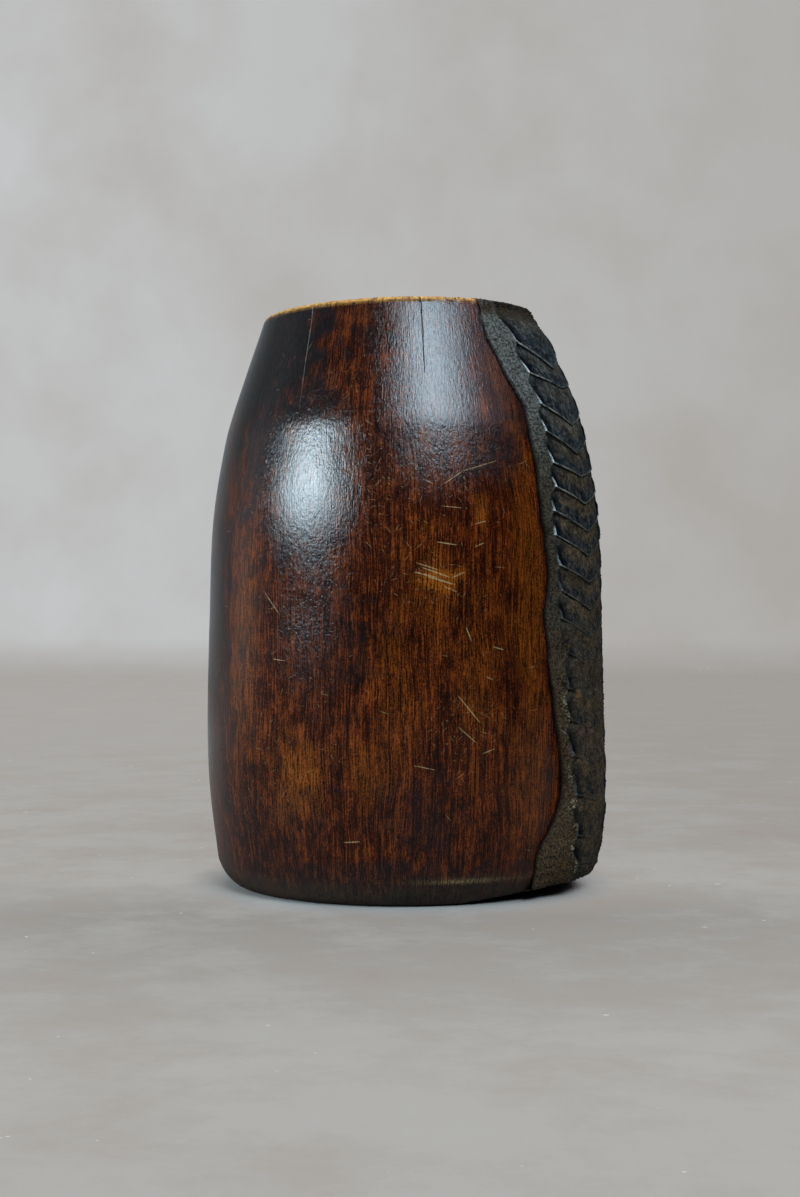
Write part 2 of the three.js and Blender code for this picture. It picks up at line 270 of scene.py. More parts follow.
# Angles of the vessel's columns in degrees, closer together at each crack
def columnAngles():
    even = np.linspace(-180, 180, vessel["columns"] - 16 * len(cracks), endpoint=False)
    extra = []
    for crack in cracks:
        halfTurn = np.degrees(crack["halfWidth"] / 55)
        steps = np.array([-3.2, -2.2, -1.6, -1.2, -1, -0.7, -0.4, -0.15, 0.15, 0.4, 0.7, 1, 1.2, 1.6, 2.2, 3.2])
        extra.extend(crack["top"][0] + halfTurn * steps)
    return np.sort(np.concatenate([even, extra]))


def crackShift(crack, angles, heights):
    share = np.clip((crack["top"][1] - heights) / (crack["top"][1] - crack["bottom"][1]), 0, 1)
    drift = (crack["bottom"][0] - crack["top"][0]) * share + 0.2 * wander(0 * heights, heights / 11, 4, 5)
    return drift * bell(angles - crack["top"][0], 9)


# Rows of the vessel's outline from the middle of the underside round to the middle of the inside
def outlineRows():
    rows = [("under", radius, 0) for radius in (14, 30, 44, 54)]
    foot = samples[samples[:, 1] <= vessel["footEdgeHeight"]]
    rows += [("side", radius, height) for radius, height in foot[::2]]
    top = vessel["height"] - vessel["rimOuterRound"]
    for height in np.linspace(vessel["footEdgeHeight"], top, vessel["sideRows"])[1:]:
        rows.append(("side", float(woodRadius(height)), height))

    def addRound(kind, radius, height, reach, turns):
        for turn in np.radians(turns):
            rows.append((kind, radius + abs(reach) * math.cos(turn), height + reach * math.sin(turn)))

    outerRound, innerRound, corner = vessel["rimOuterRound"], vessel["rimInnerRound"], vessel["cavityCorner"]
    rimRadius = vessel["bellyRadius"] - sideStations[-1][1]
    innerEdge = rimRadius - vessel["wall"] + innerRound
    addRound("rim", rimRadius - outerRound, top, outerRound, np.linspace(0, 90, 6)[1:])
    for share in (0.25, 0.5, 0.75):
        rows.append(("rim", blend(rimRadius - outerRound, innerEdge, share), vessel["height"]))
    addRound("rim", innerEdge, vessel["height"] - innerRound, innerRound, np.linspace(90, 180, 6))
    cornerTop = vessel["floor"] + corner
    for height in np.linspace(vessel["height"] - innerRound, cornerTop, vessel["cavityRows"])[1:]:
        rows.append(("inside", float(woodRadius(height)) - vessel["wall"], height))
    floorRadius = float(woodRadius(cornerTop)) - vessel["wall"] - corner
    addRound("inside", floorRadius, cornerTop, -corner, np.linspace(0, 90, 9)[1:])
    rows += [("inside", radius, vessel["floor"]) for radius in (27, 16)]
    return rows


def patchSum(patches, angles, heights, seed):
    total = 0 * heights
    perDegree = math.radians(1) * vessel["bellyRadius"]
    ragged = 1 + 0.45 * wander(angles / 360 * 90 + 90, heights / 5, 90, seed)
    for angle, height, halfWidth, halfHeight, strength in patches:
        across = ((angles - angle + 180) % 360 - 180) * perDegree / halfWidth
        up = (heights - height) / halfHeight
        total = np.maximum(total, strength * smooth(1.5 - np.sqrt(across ** 2 + up ** 2) * ragged))
    return total


def makeVessel():
    rows = outlineRows()
    kinds = np.array([row[0] for row in rows])
    columns = columnAngles()
    heights = np.array([row[2] for row in rows], float)[:, None] + 0 * columns
    radii = np.array([row[1] for row in rows], float)[:, None] + 0 * columns
    angles = columns + 0 * heights
    for crack in cracks:
        angles = angles + crackShift(crack, angles, heights)
    turn = np.radians(angles)
    round90 = angles / 360 * 90 + 90

    outside = np.isin(kinds, ["side", "rim"])[:, None] & (radii > 40)
    onSide = (kinds == "side")[:, None] & (heights > 0)
    inside = (kinds == "inside")[:, None]

    # Low swells of the carved side, and the flat bevel worn round the foot
    waves = wander(round90 / 5, heights / vessel["waveLength"], 18, 11)
    waves = waves + 0.6 * wander(round90 / 2, heights / vessel["fineWaveLength"], 45, 12)
    scraped = vessel["carvedWaves"] * waves + vessel["scrapedOff"]
    radii = radii - np.where(onSide, scraped * smooth(heights / 20), 0)
    arris = sum(strength * bell(angles - angle, reach) for angle, reach, strength in footFlats)
    flatTop = vessel["footFlatHeight"]
    flatFoot = np.clip((flatTop - heights) / flatTop, 0, 1) * smooth((flatTop - heights) / 1.2)
    radii = radii - np.where(onSide, vessel["footFlatDepth"] * arris * flatFoot * smooth(heights / 3), 0)

    # The recess under the band, and the wood standing against the band's edge
    arc = turn * woodRadius(heights)
    far = arc > 0
    edge = np.where(far, edgeArc(heights, True), edgeArc(heights, False))
    recess = smooth((edge - band["seatInset"] - np.abs(arc)) / 1.2)
    seatCut = band["seatDepth"] + band["seatRimDepth"] * rimShare(heights)
    radii = radii - np.where(outside, recess * seatCut, 0)

    # Cracks are real grooves; the filled one is nearly level
    crackAndSeamShade = 0 * heights
    fillMark = 0 * heights
    for crack in cracks:
        topAngle, topHeight = crack["top"]
        share = (topHeight - heights) / (topHeight - crack["bottom"][1])
        away = np.abs(angles - topAngle - crackShift(crack, columns + 0 * heights, heights)) * np.radians(1) * radii
        taper = crack["halfWidth"] * np.clip(1.15 - share ** 2, 0, 1)
        taper = taper * (0.85 + 0.3 * wander(0 * heights, heights / 3, 4, 8))
        mark = smooth((taper - away) / (0.35 * crack["halfWidth"]) + 0.5) * (share < 1) * (radii > 30)
        notch = 1 + 3 * crack["filled"] * smooth((heights - 205.5) / 2)    # the filling has fallen out at the rim
        filled = crack["filled"] * smooth((206.5 - heights) / 1.5)
        radii = radii - np.where(outside, crack["depth"] * notch * mark, 0)
        radii = radii + np.where(inside, crack["depth"] * mark, 0)
        crackAndSeamShade = np.maximum(crackAndSeamShade, mark * (1 - filled))
        fillMark = np.maximum(fillMark, mark * filled)

    # Gouge marks inside: rows of shallow scallops that run down the wall
    drift = 1.5 * wander(round90 / 3, heights / vessel["gougeLength"], 30, 14)
    scallop = np.abs(np.sin(turn * vessel["gouges"] / 2 + drift))
    scallop = scallop + 0.7 * wander(round90, heights / vessel["fineGougeLength"], 90, 15)
    gouge = vessel["gougeDepth"] * scallop
    radii = radii + np.where(inside & (heights > vessel["floor"] + 1), gouge * smooth((205 - heights) / 12), 0)

    # Dents and wear along the rim
    onRim = (kinds == "rim")[:, None] | ((kinds == "side")[:, None] & (heights > 206))
    dents = wander(round90 * 2, 0 * heights, 180, 16) + 0.4 * wander(round90 * 4, 0 * heights, 360, 17)
    dents = vessel["rimDents"] * np.clip(dents, 0, 1)
    heights = heights - np.where(onRim, dents * smooth((heights - 206) / 3), 0)

    x = radii * np.cos(turn)
    y = radii * np.sin(turn)
    z = np.where(inside, leanRim(x, heights), liftHeel(x, leanRim(x, heights)))
    z = np.maximum(z, 0)

    columnCount = len(columns)
    rowCount = len(rows)
    points = [(0, 0, 0)] + np.stack([x, y, z], axis=2).reshape(-1, 3).tolist() + [(0, 0, vessel["floor"])]
    top = len(points) - 1
    faces = []
    for column in range(columnCount):
        after = (column + 1) % columnCount
        faces.append((0, 1 + after, 1 + column))
        for row in range(rowCount - 1):
            low, high = 1 + row * columnCount, 1 + (row + 1) * columnCount
            faces.append((low + column, low + after, high + after, high + column))
        faces.append((top, 1 + (rowCount - 1) * columnCount + column, 1 + (rowCount - 1) * columnCount + after))

    def perPoint(value, atFoot=0.0, atFloor=0.0):
        return np.concatenate([[atFoot], np.asarray(value, float).ravel(), [atFloor]])

    # Painted shade on the wood along the band's edge, drawn in the crack colour
    seamShade = np.where(outside, smooth((edge + 1.3 - np.abs(arc)) / 1.5), 0)
    crackAndSeamShade = np.maximum(crackAndSeamShade, 0.85 * seamShade)
    # The rim is worn to bare wood, most of all on its outer half; its pale colour also paints the rim's highlight
    rimWearAndHighlight = np.where(outside, smooth((heights - 208.3) / 1.1), 0)
    rimWearAndHighlight = rimWearAndHighlight * (0.8 + 0.3 * wander(round90 * 2, heights / 2, 180, 18))
    rimWearAndHighlight = rimWearAndHighlight * (1 - 0.75 * smooth((49.2 - radii + 0.8 * wander(round90, 0 * heights, 90, 19)) / 3))
    # The pale line along the foot edge is partly a painted highlight
    paleLine = sum(strength * bell(angles - angle, reach) for angle, reach, strength in footPaleLines)
    paleLine = np.where(onSide, bell(heights - flatTop, 0.55) * paleLine, 0)
    dirty = np.where(onSide, 0.8 * smooth((12 - heights) / 9), (kinds == "under")[:, None] * 0.8 + 0 * heights)
    values = {
        "dark": perPoint(np.where(outside, patchSum(darkPatches, angles, heights, 21), 0.3)),
        "goldAndSheen": perPoint(np.where(outside, patchSum(rubbedAndSheenPatches, angles, heights, 22), 0)),
        "scuffs": perPoint(np.where(outside, patchSum(scuffPatches, angles, heights, 23), 0)),
        "worn": perPoint(np.clip(rimWearAndHighlight, 0, 1)),
        "arris": perPoint(np.clip(paleLine, 0, 1)),
        "foot": perPoint(dirty, 0.8),
        "crack": perPoint(crackAndSeamShade),
        "filler": perPoint(fillMark),
        "inside": perPoint(np.where(inside, smooth((206 - heights) / 10), 0), 0.0, 1.0),
    }
    made = makeObject("carved_vessel", points, faces, values)
    unrolledMap(made, perPoint(turn * vessel["bellyRadius"]), perPoint(heights))
    return made


# Rows of the band from the rim down: height at the outer corners, hang of the V at its point,
# share of the way down the shingle (over 1 on the underside of its lip), and the shingle's number
def bandRows():
    height = vessel["height"]
    rows = [(height, 0, 0.6, -1), (height - 0.5, 0.5, 0.7, -1)]
    above, hangAbove = height - 1.2, 1.5
    for number, (drop, _, hang) in enumerate(shingles):
        lip = height - drop
        undercut = band["lipUndercut"] if number else 0
        for fall in band["faceRows"]:
            start = above + undercut * max(1 - fall / 0.04, 0)
            rows.append((blend(start, lip, fall), blend(hangAbove, hang, fall), fall, number))
        rows.append((lip + 0.03, hang, 1, number))
        rows.append((lip - 0.05, hang, 1.02, number))
        rows.append((lip + 0.02, hang, 1.06, number))
        above, hangAbove = lip, hang
    for share in np.linspace(0, 1, band["toeRows"])[1:]:
        rows.append((above * (1 - share), hangAbove * (1 - smooth(share * 2)), 0.75, len(shingles)))
    return np.array(rows[::-1], float)


# The uncut sheet of resin, with rows that already follow the V of each lip
def makeBlank():
    rows = bandRows()
    corner, hang, fall, number = (rows[:, [index]] for index in range(4))
    half = [(True, share) for share in band["flankShares"]] + [(False, share) for share in band["panelShares"]]
    columns = [(-1, *place) for place in half] + [(1, *place) for place in half[:-1][::-1]]
    side, onFlank, share = (np.array(part, float)[None, :] for part in zip(*columns))
    onFlank = onFlank > 0

    drops = [0] + [shingle[0] for shingle in shingles] + [vessel["height"]]
    arcs = [shingles[0][1] + 1] + [shingle[1] for shingle in shingles] + [9]
    nearCrest = np.interp(vessel["height"] - corner, drops, arcs)
    farCrest = np.interp(corner, *np.array(farCrests).T)
    farCrest = farCrest + 0.8 * wander(number + 3, 0 * number, 32, 41)
    edge = np.where(side > 0, edgeArc(corner, True), edgeArc(corner, False))
    cut = (number >= 0) & (number < len(shingles))
    scallop = band["scallop"] * smooth(fall / 0.3) * smooth((1 - fall) / 0.5) * cut
    crest = np.minimum(np.where(side > 0, farCrest, nearCrest) + scallop, edge - band["leastFlank"])
    arc = side * np.where(onFlank, blend(crest, edge, share), crest * share)
    fromCrest = np.where(onFlank, np.abs(arc) - crest, (share - 1) * crest)

    # Straight arms that meet in a slightly rounded point
    arm = (np.sqrt(share ** 2 + 0.0016) - 0.04) / 0.961
    height = np.maximum(corner - np.where(onFlank, 0, hang * (1 - arm)), 0)

    # The flank rises from its rounded, pressed edge to the crest; the panel stands at full height
    neckShare = smooth((height - vessel["height"] + band["neckDrop"]) / (band["neckDrop"] - band["rimBevelReach"]))
    swell = band["footSwell"] * bell(height - band["footSwellHeight"], band["footSwellReach"])
    full = band["rise"] + swell - band["neckThinning"] * neckShare - band["rimBevel"] * rimShare(height)
    fromEdge = edge - np.abs(arc)
    rounding = np.sqrt(1 - (1 - np.clip(fromEdge / band["edgeRound"], 0, 1)) ** 2)
    edgeRise = band["edgeRise"] - band["rimBevel"] * 0.7 * rimShare(height)
    flankRise = blend(edgeRise, full, (1 - share) ** band["flankCurve"])
    proud = np.where(onFlank, blend(-0.15 - band["rimBevel"] * 0.5 * rimShare(height), flankRise, rounding), full)
    toe = band["toeRound"] * np.clip(1 - height / band["toeHeight"], 0, 1) ** 2 * smooth(proud / band["rise"])
    radius = woodRadius(np.maximum(height, band["toeHeight"] * 0.8)) + proud - toe
    turn = arc / woodRadius(height)

    # The back lies in its seat in the wood, on few columns
    backColumns = np.linspace(0, len(columns) - 1, 11).round().astype(int)
    inner = backColumns[1:-1]
    backHeight = np.repeat(corner, len(inner), axis=1)
    backRadius = seatRadius(backHeight) + band["backGap"]
    backTurn = arc[:, inner] / woodRadius(backHeight)

    def place(radii, turns, heights):
        x = radii * np.cos(turns)
        z = liftHeel(x, leanRim(x, heights), band["seatGap"])
        return np.stack([x, radii * np.sin(turns), z], axis=2).reshape(-1, 3)

    points = np.concatenate([place(radius, turn, height), place(backRadius, backTurn, backHeight)])
    count = len(columns)
    offset = len(rows) * count

    def back(row, order):  # back point in a row, its ends shared with the front
        if order in (0, len(inner) + 1):
            return row * count + backColumns[order]
        return offset + row * len(inner) + order - 1

    faces = []
    for row in range(len(rows) - 1):
        low, high = row * count, (row + 1) * count
        faces += [(low + c, low + c + 1, high + c + 1, high + c) for c in range(count - 1)]
        for order in range(len(inner) + 1):
            faces.append((back(row, order), back(row + 1, order), back(row + 1, order + 1), back(row, order + 1)))
    top = len(rows) - 1
    for order in range(len(inner) + 1):
        run = range(backColumns[order], backColumns[order + 1] + 1)
        hidden = [back(0, step) for step in (order + 1, order) if 0 < step < len(inner) + 1]
        faces.append(tuple(hidden[::-1] + list(run)[::-1])[::-1])
        hidden = [back(top, step) for step in (order + 1, order) if 0 < step < len(inner) + 1]
        faces.append(tuple([top * count + c for c in run] + hidden))

    def perPoint(value, atBack):
        front = np.broadcast_to(value, height.shape).ravel()
        return np.concatenate([front, np.full(backHeight.size, float(atBack))])

    values = {
        "fall": perPoint(fall, 0),
        "shingle": perPoint(number, -2),
        "fromCrest": perPoint(fromCrest, 30),
        "fromEdge": perPoint(fromEdge, 0),
        "armShare": perPoint(np.where(onFlank, 1, share), 1),
        "farSide": perPoint((side + 1) / 2, 0),
        "carved": perPoint(cut * 1.0, 0),
        "front": perPoint(1, 0),
    }
    made = makeObject("resin_blank", points, faces, values)
    unrolledMap(made, perPoint(arc, 0), perPoint(height, 0))
    return made


# Add one node to a tree. Inputs are given by name or number: a node (its first output), a socket or a value
def addNode(tree, kind, inputs=None, **settings):
    node = tree.nodes.new(kind)
    for key, value in settings.items():
        setattr(node, key, value)
    for key, value in (inputs or {}).items():
        socket = node.inputs[key]
        if isinstance(value, bpy.types.Node):
            value = value.outputs[0]
        if isinstance(value, bpy.types.NodeSocket):
            tree.links.new(value, socket)
        else:
            socket.default_value = value
    return node


# Cut the shingles into the blank, roughen it and press grains of grit into it
def shingleTree(material):
    tree = bpy.data.node_groups.new("cut_shingles", "GeometryNodeTree")
    sizes = {
        "Point Share": band["pointShare"], "Far Wear": band["farArmWear"],
        "Burr Width": band["burrWidth"],    # in millimetres, like the attributes of the blank
        "Lumps Per Metre": band["lumpsPerMetre"], "Pits Per Metre": band["pitsPerMetre"],
        "Worn Spots Per Metre": band["wornSpotsPerMetre"],
        "Grains Per Square Metre": band["grainsPerSquareCm"] * 1e4,
    }
    for name, key in (("Pocket Depth", "pocketDepth"), ("Burr Height", "burrHeight"), ("Grit Height", "gritHeight"),
                      ("Grit Size", "gritSize"), ("Lump Height", "lumpHeight"), ("Pit Depth", "pitDepth"),
                      ("Grain Radius", "grainRadius")):
        sizes[name] = band[key] * mm
    tree.interface.new_socket("Blank", in_out="INPUT", socket_type="NodeSocketGeometry")
    for name in sizes:
        tree.interface.new_socket(name, in_out="INPUT", socket_type="NodeSocketFloat")
    tree.interface.new_socket("Seed", in_out="INPUT", socket_type="NodeSocketInt")
    tree.interface.new_socket("Resin", in_out="INPUT", socket_type="NodeSocketMaterial")
    tree.interface.new_socket("Band", in_out="OUTPUT", socket_type="NodeSocketGeometry")
    given = addNode(tree, "NodeGroupInput").outputs
    read = {
        name: addNode(tree, "GeometryNodeInputNamedAttribute", {"Name": name})
        for name in ("fall", "shingle", "fromCrest", "fromEdge", "armShare", "farSide", "carved", "front")
    }
    position = addNode(tree, "GeometryNodeInputPosition")
    outward = addNode(tree, "ShaderNodeVectorMath", {0: position, 1: (1, 1, 0)}, operation="MULTIPLY")
    outward = addNode(tree, "ShaderNodeVectorMath", {0: outward}, operation="NORMALIZE")
    height = addNode(tree, "ShaderNodeSeparateXYZ", {0: position}).outputs["Z"]
    gritScale = addNode(tree, "ShaderNodeMath", {0: 1.0, 1: given["Grit Size"]}, operation="DIVIDE")
    grit, lumps, pits, wornSpots = (
        addNode(tree, "ShaderNodeTexNoise", {"Vector": position, "Scale": scale, "Detail": detail})
        for scale, detail in ((gritScale, 1.5), (given["Lumps Per Metre"], 2.0), (given["Pits Per Metre"], 1.0),
                              (given["Worn Spots Per Metre"], 2.0)))

    # Each share goes from its first value to its second while its source runs from start to end: heights
    # in metres, distances from the crest in millimetres
    fall, fromCrest = read["fall"], read["fromCrest"]
    offCrest = addNode(tree, "ShaderNodeMath", {0: fromCrest}, operation="ABSOLUTE")
    offBurr = addNode(tree, "ShaderNodeMath", {0: fromCrest, 1: 0.12}, operation="SUBTRACT")
    offBurr = addNode(tree, "ShaderNodeMath", {0: offBurr}, operation="ABSOLUTE")
    share = {}
    for kind, ranges in (("LINEAR", (
        ("faceDepth", fall, 0.0, 1.0, 1.0, 0.0), ("lipDepth", fall, 1.0, 1.06, 0.0, 0.8),
        ("alongArm", read["armShare"], 0.0, 1.0, given["Point Share"], 1.0),
        ("farKept", height, 0.09, 0.14, 0.08, 1.0), ("farBurr", height, 0.09, 0.135, 0.03, 1.0),
        ("wornHere", wornSpots, 0.4, 0.6, 0.15, 1.0), ("keptHigh", height, 0.11, 0.15, 0.0, 0.9),
        ("outerEnd", fromCrest, -5.5, -1.2, 0.08, 1.2), ("atToe", height, 0.082, 0.108, 1.0, 0.0),
        ("burrEnd", fall, 1.0, 1.03, 1.0, 0.0), ("offEdge", read["fromEdge"], 0.0, 1.2, 0.1, 1.0),
        ("onFlank", fromCrest, -0.6, 0.9, 0.2, 1.0), ("low", height, 0.13, 0.06, 0.0, 0.75),
        ("atRim", height, 0.2, 0.207, 0.0, 1.0), ("lumpy", height, 0.05, 0.12, 2.0, 1.0),
        ("onCrest", offCrest, 0.5, 3.0, 3.6, 0.0), ("nearSide", read["farSide"], 0.0, 1.0, 1.0, 0.0),
    )), ("SMOOTHSTEP", (
        ("inPanel", fromCrest, -0.7, 0.0, 1.0, 0.0), ("burr", offBurr, 0.0, given["Burr Width"], 1.0, 0.0),
        ("burrStart", fall, 0.3, 0.55, 0.0, 1.0), ("pits", pits, 0.6, 0.7, 0.0, -1.0),
    ))):
        for name, source, start, end, first, second in ranges:
            share[name] = addNode(tree, "ShaderNodeMapRange", {0: source, 1: start, 2: end, 3: first, 4: second},
                                  interpolation_type=kind)

    # Depth of the cut: deepest just under the lip above, nothing at the shingle's own lip, shallow where it is worn
    farKept = addNode(tree, "ShaderNodeMath", {0: share["farKept"], 1: given["Far Wear"]}, operation="MULTIPLY")
    farArm = addNode(tree, "ShaderNodeMath", {0: read["armShare"], 1: read["farSide"]}, operation="MULTIPLY")
    farArm = addNode(tree, "ShaderNodeMapRange", {0: farArm, 3: 1.0, 4: farKept})
    byHand = addNode(tree, "FunctionNodeRandomValue", {2: 0.78, 3: 1.18, "ID": read["shingle"], "Seed": given["Seed"]})
    lowWear = addNode(tree, "ShaderNodeMix", {0: share["keptHigh"], 2: share["wornHere"], 3: 1.0})
    lowWear = addNode(tree, "ShaderNodeMix", {0: share["atToe"], 2: lowWear, 3: share["outerEnd"]})
    depth = addNode(tree, "ShaderNodeMath", {0: share["faceDepth"], 1: share["lipDepth"]}, operation="ADD")
    for factor in (share["inPanel"], share["alongArm"], farArm, byHand.outputs[1], lowWear, read["carved"],
                   given["Pocket Depth"]):
        depth = addNode(tree, "ShaderNodeMath", {0: depth, 1: factor}, operation="MULTIPLY")

    # A burr of resin pushed up along the outer end of each pocket
    burrSide = addNode(tree, "ShaderNodeMapRange", {0: read["farSide"], 3: 1.0, 4: share["farBurr"]})
    burr = share["burr"]
    for factor in (share["burrStart"], share["burrEnd"], burrSide, read["carved"], given["Burr Height"]):
        burr = addNode(tree, "ShaderNodeMath", {0: burr, 1: factor}, operation="MULTIPLY")
    relief = addNode(tree, "ShaderNodeMath", {0: burr, 1: depth}, operation="SUBTRACT")

    # Grit is thick on the flanks, at the rim and in the worn lower half, thin on the smooth faces above
    gritty = share["onFlank"]
    for operation, other in (("MAXIMUM", share["low"]), ("MAXIMUM", share["atRim"]), ("MULTIPLY", share["offEdge"]),
                             ("MULTIPLY", read["front"])):
        gritty = addNode(tree, "ShaderNodeMath", {0: gritty, 1: other}, operation=operation)
    rough = share["pits"]
    for factor in (share["low"], given["Pit Depth"]):
        rough = addNode(tree, "ShaderNodeMath", {0: rough, 1: factor}, operation="MULTIPLY")
    onCrest = share["onCrest"]
    for factor in (share["low"], share["nearSide"]):
        onCrest = addNode(tree, "ShaderNodeMath", {0: onCrest, 1: factor}, operation="MULTIPLY")
    for source, further, size in ((grit, (1.0,), given["Grit Height"]),
                                  (lumps, (share["lumpy"], share["atRim"]), given["Lump Height"])):
        reach = onCrest
        for more in further:
            reach = addNode(tree, "ShaderNodeMath", {0: reach, 1: more}, operation="ADD")
        reach = addNode(tree, "ShaderNodeMath", {0: reach, 1: size}, operation="MULTIPLY")
        part = addNode(tree, "ShaderNodeMapRange", {0: source, 1: 0.25, 2: 0.75, 3: -1.0, 4: 1.0})
        part = addNode(tree, "ShaderNodeMath", {0: part, 1: reach}, operation="MULTIPLY")
        rough = addNode(tree, "ShaderNodeMath", {0: rough, 1: part}, operation="ADD")
    rough = addNode(tree, "ShaderNodeMath", {0: rough, 1: gritty}, operation="MULTIPLY")
    relief = addNode(tree, "ShaderNodeMath", {0: relief, 1: rough}, operation="ADD")
    offset = addNode(tree, "ShaderNodeVectorMath", {0: outward, "Scale": relief}, operation="SCALE")
    carvedBand = addNode(tree, "GeometryNodeSetPosition", {"Geometry": given["Blank"], "Offset": offset})

    # Grains of grit pressed into the surface
    density = addNode(tree, "ShaderNodeMath", {0: gritty, 1: 3.0}, operation="POWER")
    density = addNode(tree, "ShaderNodeMath", {0: density, 1: given["Grains Per Square Metre"]}, operation="MULTIPLY")
    spots = addNode(tree, "GeometryNodeDistributePointsOnFaces",
                    {"Mesh": carvedBand, "Density": density, "Seed": given["Seed"]})
    grain = addNode(tree, "GeometryNodeMeshIcoSphere", {"Radius": given["Grain Radius"], "Subdivisions": 1})
    size = addNode(tree, "FunctionNodeRandomValue", {2: 0.45, 3: 1.3, "Seed": given["Seed"]})
    turn = addNode(tree, "FunctionNodeRandomValue", {0: (0, 0, 0), 1: (6.28, 6.28, 6.28), "Seed": given["Seed"]},
                   data_type="FLOAT_VECTOR")
    grains = addNode(tree, "GeometryNodeInstanceOnPoints",
                     {"Points": spots, "Instance": grain, "Rotation": turn, "Scale": size.outputs[1]})
    both = addNode(tree, "GeometryNodeJoinGeometry")
    tree.links.new(grains.outputs[0], both.inputs[0])
    tree.links.new(carvedBand.outputs[0], both.inputs[0])
    solid = addNode(tree, "GeometryNodeRealizeInstances", {0: both})
    smoothed = addNode(tree, "GeometryNodeSetShadeSmooth", {0: solid})
    finished = addNode(tree, "GeometryNodeSetMaterial", {0: smoothed, "Material": given["Resin"]})
    addNode(tree, "NodeGroupOutput", {0: finished})
    return tree, dict(sizes, Seed=band["seed"], Resin=material)


# Run a tree on an object and keep the result as a plain mesh
def bakeTree(source, tree, values, name):
    modifier = source.modifiers.new("tree", "NODES")
    modifier.node_group = tree
    for item in tree.interface.items_tree:
        if item.in_out == "INPUT" and item.name in values:
            modifier[item.identifier] = values[item.name]
    bpy.context.view_layer.update()
    evaluated = source.evaluated_get(bpy.context.evaluated_depsgraph_get())
    made = bpy.data.objects.new(name, bpy.data.meshes.new_from_object(evaluated))
    made.data.name = name
    bpy.context.scene.collection.objects.link(made)
    bpy.data.objects.remove(source)
    return made


def linearColour(hexCode):
    channels = [int(hexCode[index:index + 2], 16) / 255 for index in (1, 3, 5)]
    return tuple(c / 12.92 if c <= 0.04045 else ((c + 0.055) / 1.055) ** 2.4 for c in channels) + (1.0,)


# A material with its Principled shader: the tree, the shader and the attributes it reads
def startMaterial(name, attributes):
    material = bpy.data.materials.new(name)
    material.use_nodes = True
    tree = material.node_tree
    shader = tree.nodes["Principled BSDF"]
    read = {key: addNode(tree, "ShaderNodeAttribute", attribute_name=key).outputs["Fac"] for key in attributes}
    return material, tree, shader, read


# One straight scratch with thin ends, in unrolled millimetres, added to the marks so far
def scratchGroup():
    group = bpy.data.node_groups.new("scratch_mark", "ShaderNodeTree")
    for name, kind in (("Place", "Vector"), ("Start", "Vector"), ("Reach", "Vector"), ("Width", "Float"),
                       ("Mark", "Float")):
        group.interface.new_socket(name, in_out="INPUT", socket_type="NodeSocket" + kind)
    group.interface.new_socket("Mark", in_out="OUTPUT", socket_type="NodeSocketFloat")
    given = addNode(group, "NodeGroupInput").outputs
    fromStart = addNode(group, "ShaderNodeVectorMath", {0: given["Place"], 1: given["Start"]}, operation="SUBTRACT")
    along = addNode(group, "ShaderNodeVectorMath", {0: fromStart, 1: given["Reach"]}, operation="DOT_PRODUCT")
    whole = addNode(group, "ShaderNodeVectorMath", {0: given["Reach"], 1: given["Reach"]}, operation="DOT_PRODUCT")
    share = addNode(group, "ShaderNodeMath", {0: along.outputs["Value"], 1: whole.outputs["Value"]},
                    operation="DIVIDE", use_clamp=True)
    nearest = addNode(group, "ShaderNodeVectorMath", {0: given["Reach"], "Scale": share}, operation="SCALE")
    away = addNode(group, "ShaderNodeVectorMath", {0: fromStart, 1: nearest}, operation="DISTANCE").outputs["Value"]
    rest = addNode(group, "ShaderNodeMath", {0: 1.0, 1: share}, operation="SUBTRACT")
    taper = addNode(group, "ShaderNodeMath", {0: share, 1: rest}, operation="MULTIPLY")
    taper = addNode(group, "ShaderNodeMath", {0: taper, 1: 0.5}, operation="POWER")
    width = addNode(group, "ShaderNodeMath", {0: taper, 1: given["Width"]}, operation="MULTIPLY")
    width = addNode(group, "ShaderNodeMath", {0: width, 1: 0.03}, operation="ADD")
    mark = addNode(group, "ShaderNodeMapRange", {0: away, 1: width, 2: 0.0, 3: 0.0, 4: 1.0})
    total = addNode(group, "ShaderNodeMath", {0: mark, 1: given["Mark"]}, operation="MAXIMUM")
    addNode(group, "NodeGroupOutput", {0: total})
    return group


# Dense hardwood, scraped smooth and polished by hands and milk fat: deep red-brown, glossy where the
# patina is thick, with fine upright grain, dark pores and lighter rubbed places; painted light in it: a grey sheen
# in the patina, a sheen in one gold patch, highlights in the worn rim and the foot edge, shade along the band's edge
woodLook = {
    "streakWidth": 0.4, "streakLength": 14,    # real streaks are 0.3 mm; drawn wider so that they show
    "fleckWidth": 0.55, "fleckLength": 0.7,    # wear has broken the grain up into flecks
    "figureWidth": 1.5, "figureLength": 30,
    "cloudWidth": 5.5, "cloudLength": 6.5,
    "poreWidth": 0.42, "poreLength": 3.5,
    "rippleWidth": 1.1, "rippleLength": 2,     # scraper and wear leave the polish slightly uneven
    "waverSize": 33.333, "waver": 4,           # the grain wavers this much to the side
    # patina: dark patches whose grey is partly a painted sheen
    "deep": "#0e0502", "middle": "#381305", "bright": "#74350e", "patinaAndSheen": "#171516",
    # gold: one patch paints a sheen low on the left
    # worn is bare wood brightened to paint the rim's highlight too
    "goldAndSheen": "#85460f", "worn": "#e8aa54", "scratch": "#9c8257", "inside": "#38261a", "foot": "#3c2f22",
    # arris is partly a painted highlight on the foot edge
    # crack also paints the shade along the band's edge
    "filler": "#3a3222", "crack": "#080504", "arris": "#8d7c55",
    "roughness": 0.15, "patinaRoughness": 0.11, "ior": 1.5, "bumpDepth": 0.12,
    "scratchSpread": 1.9,                      # the listed scratches are drawn this much wider, to show
}

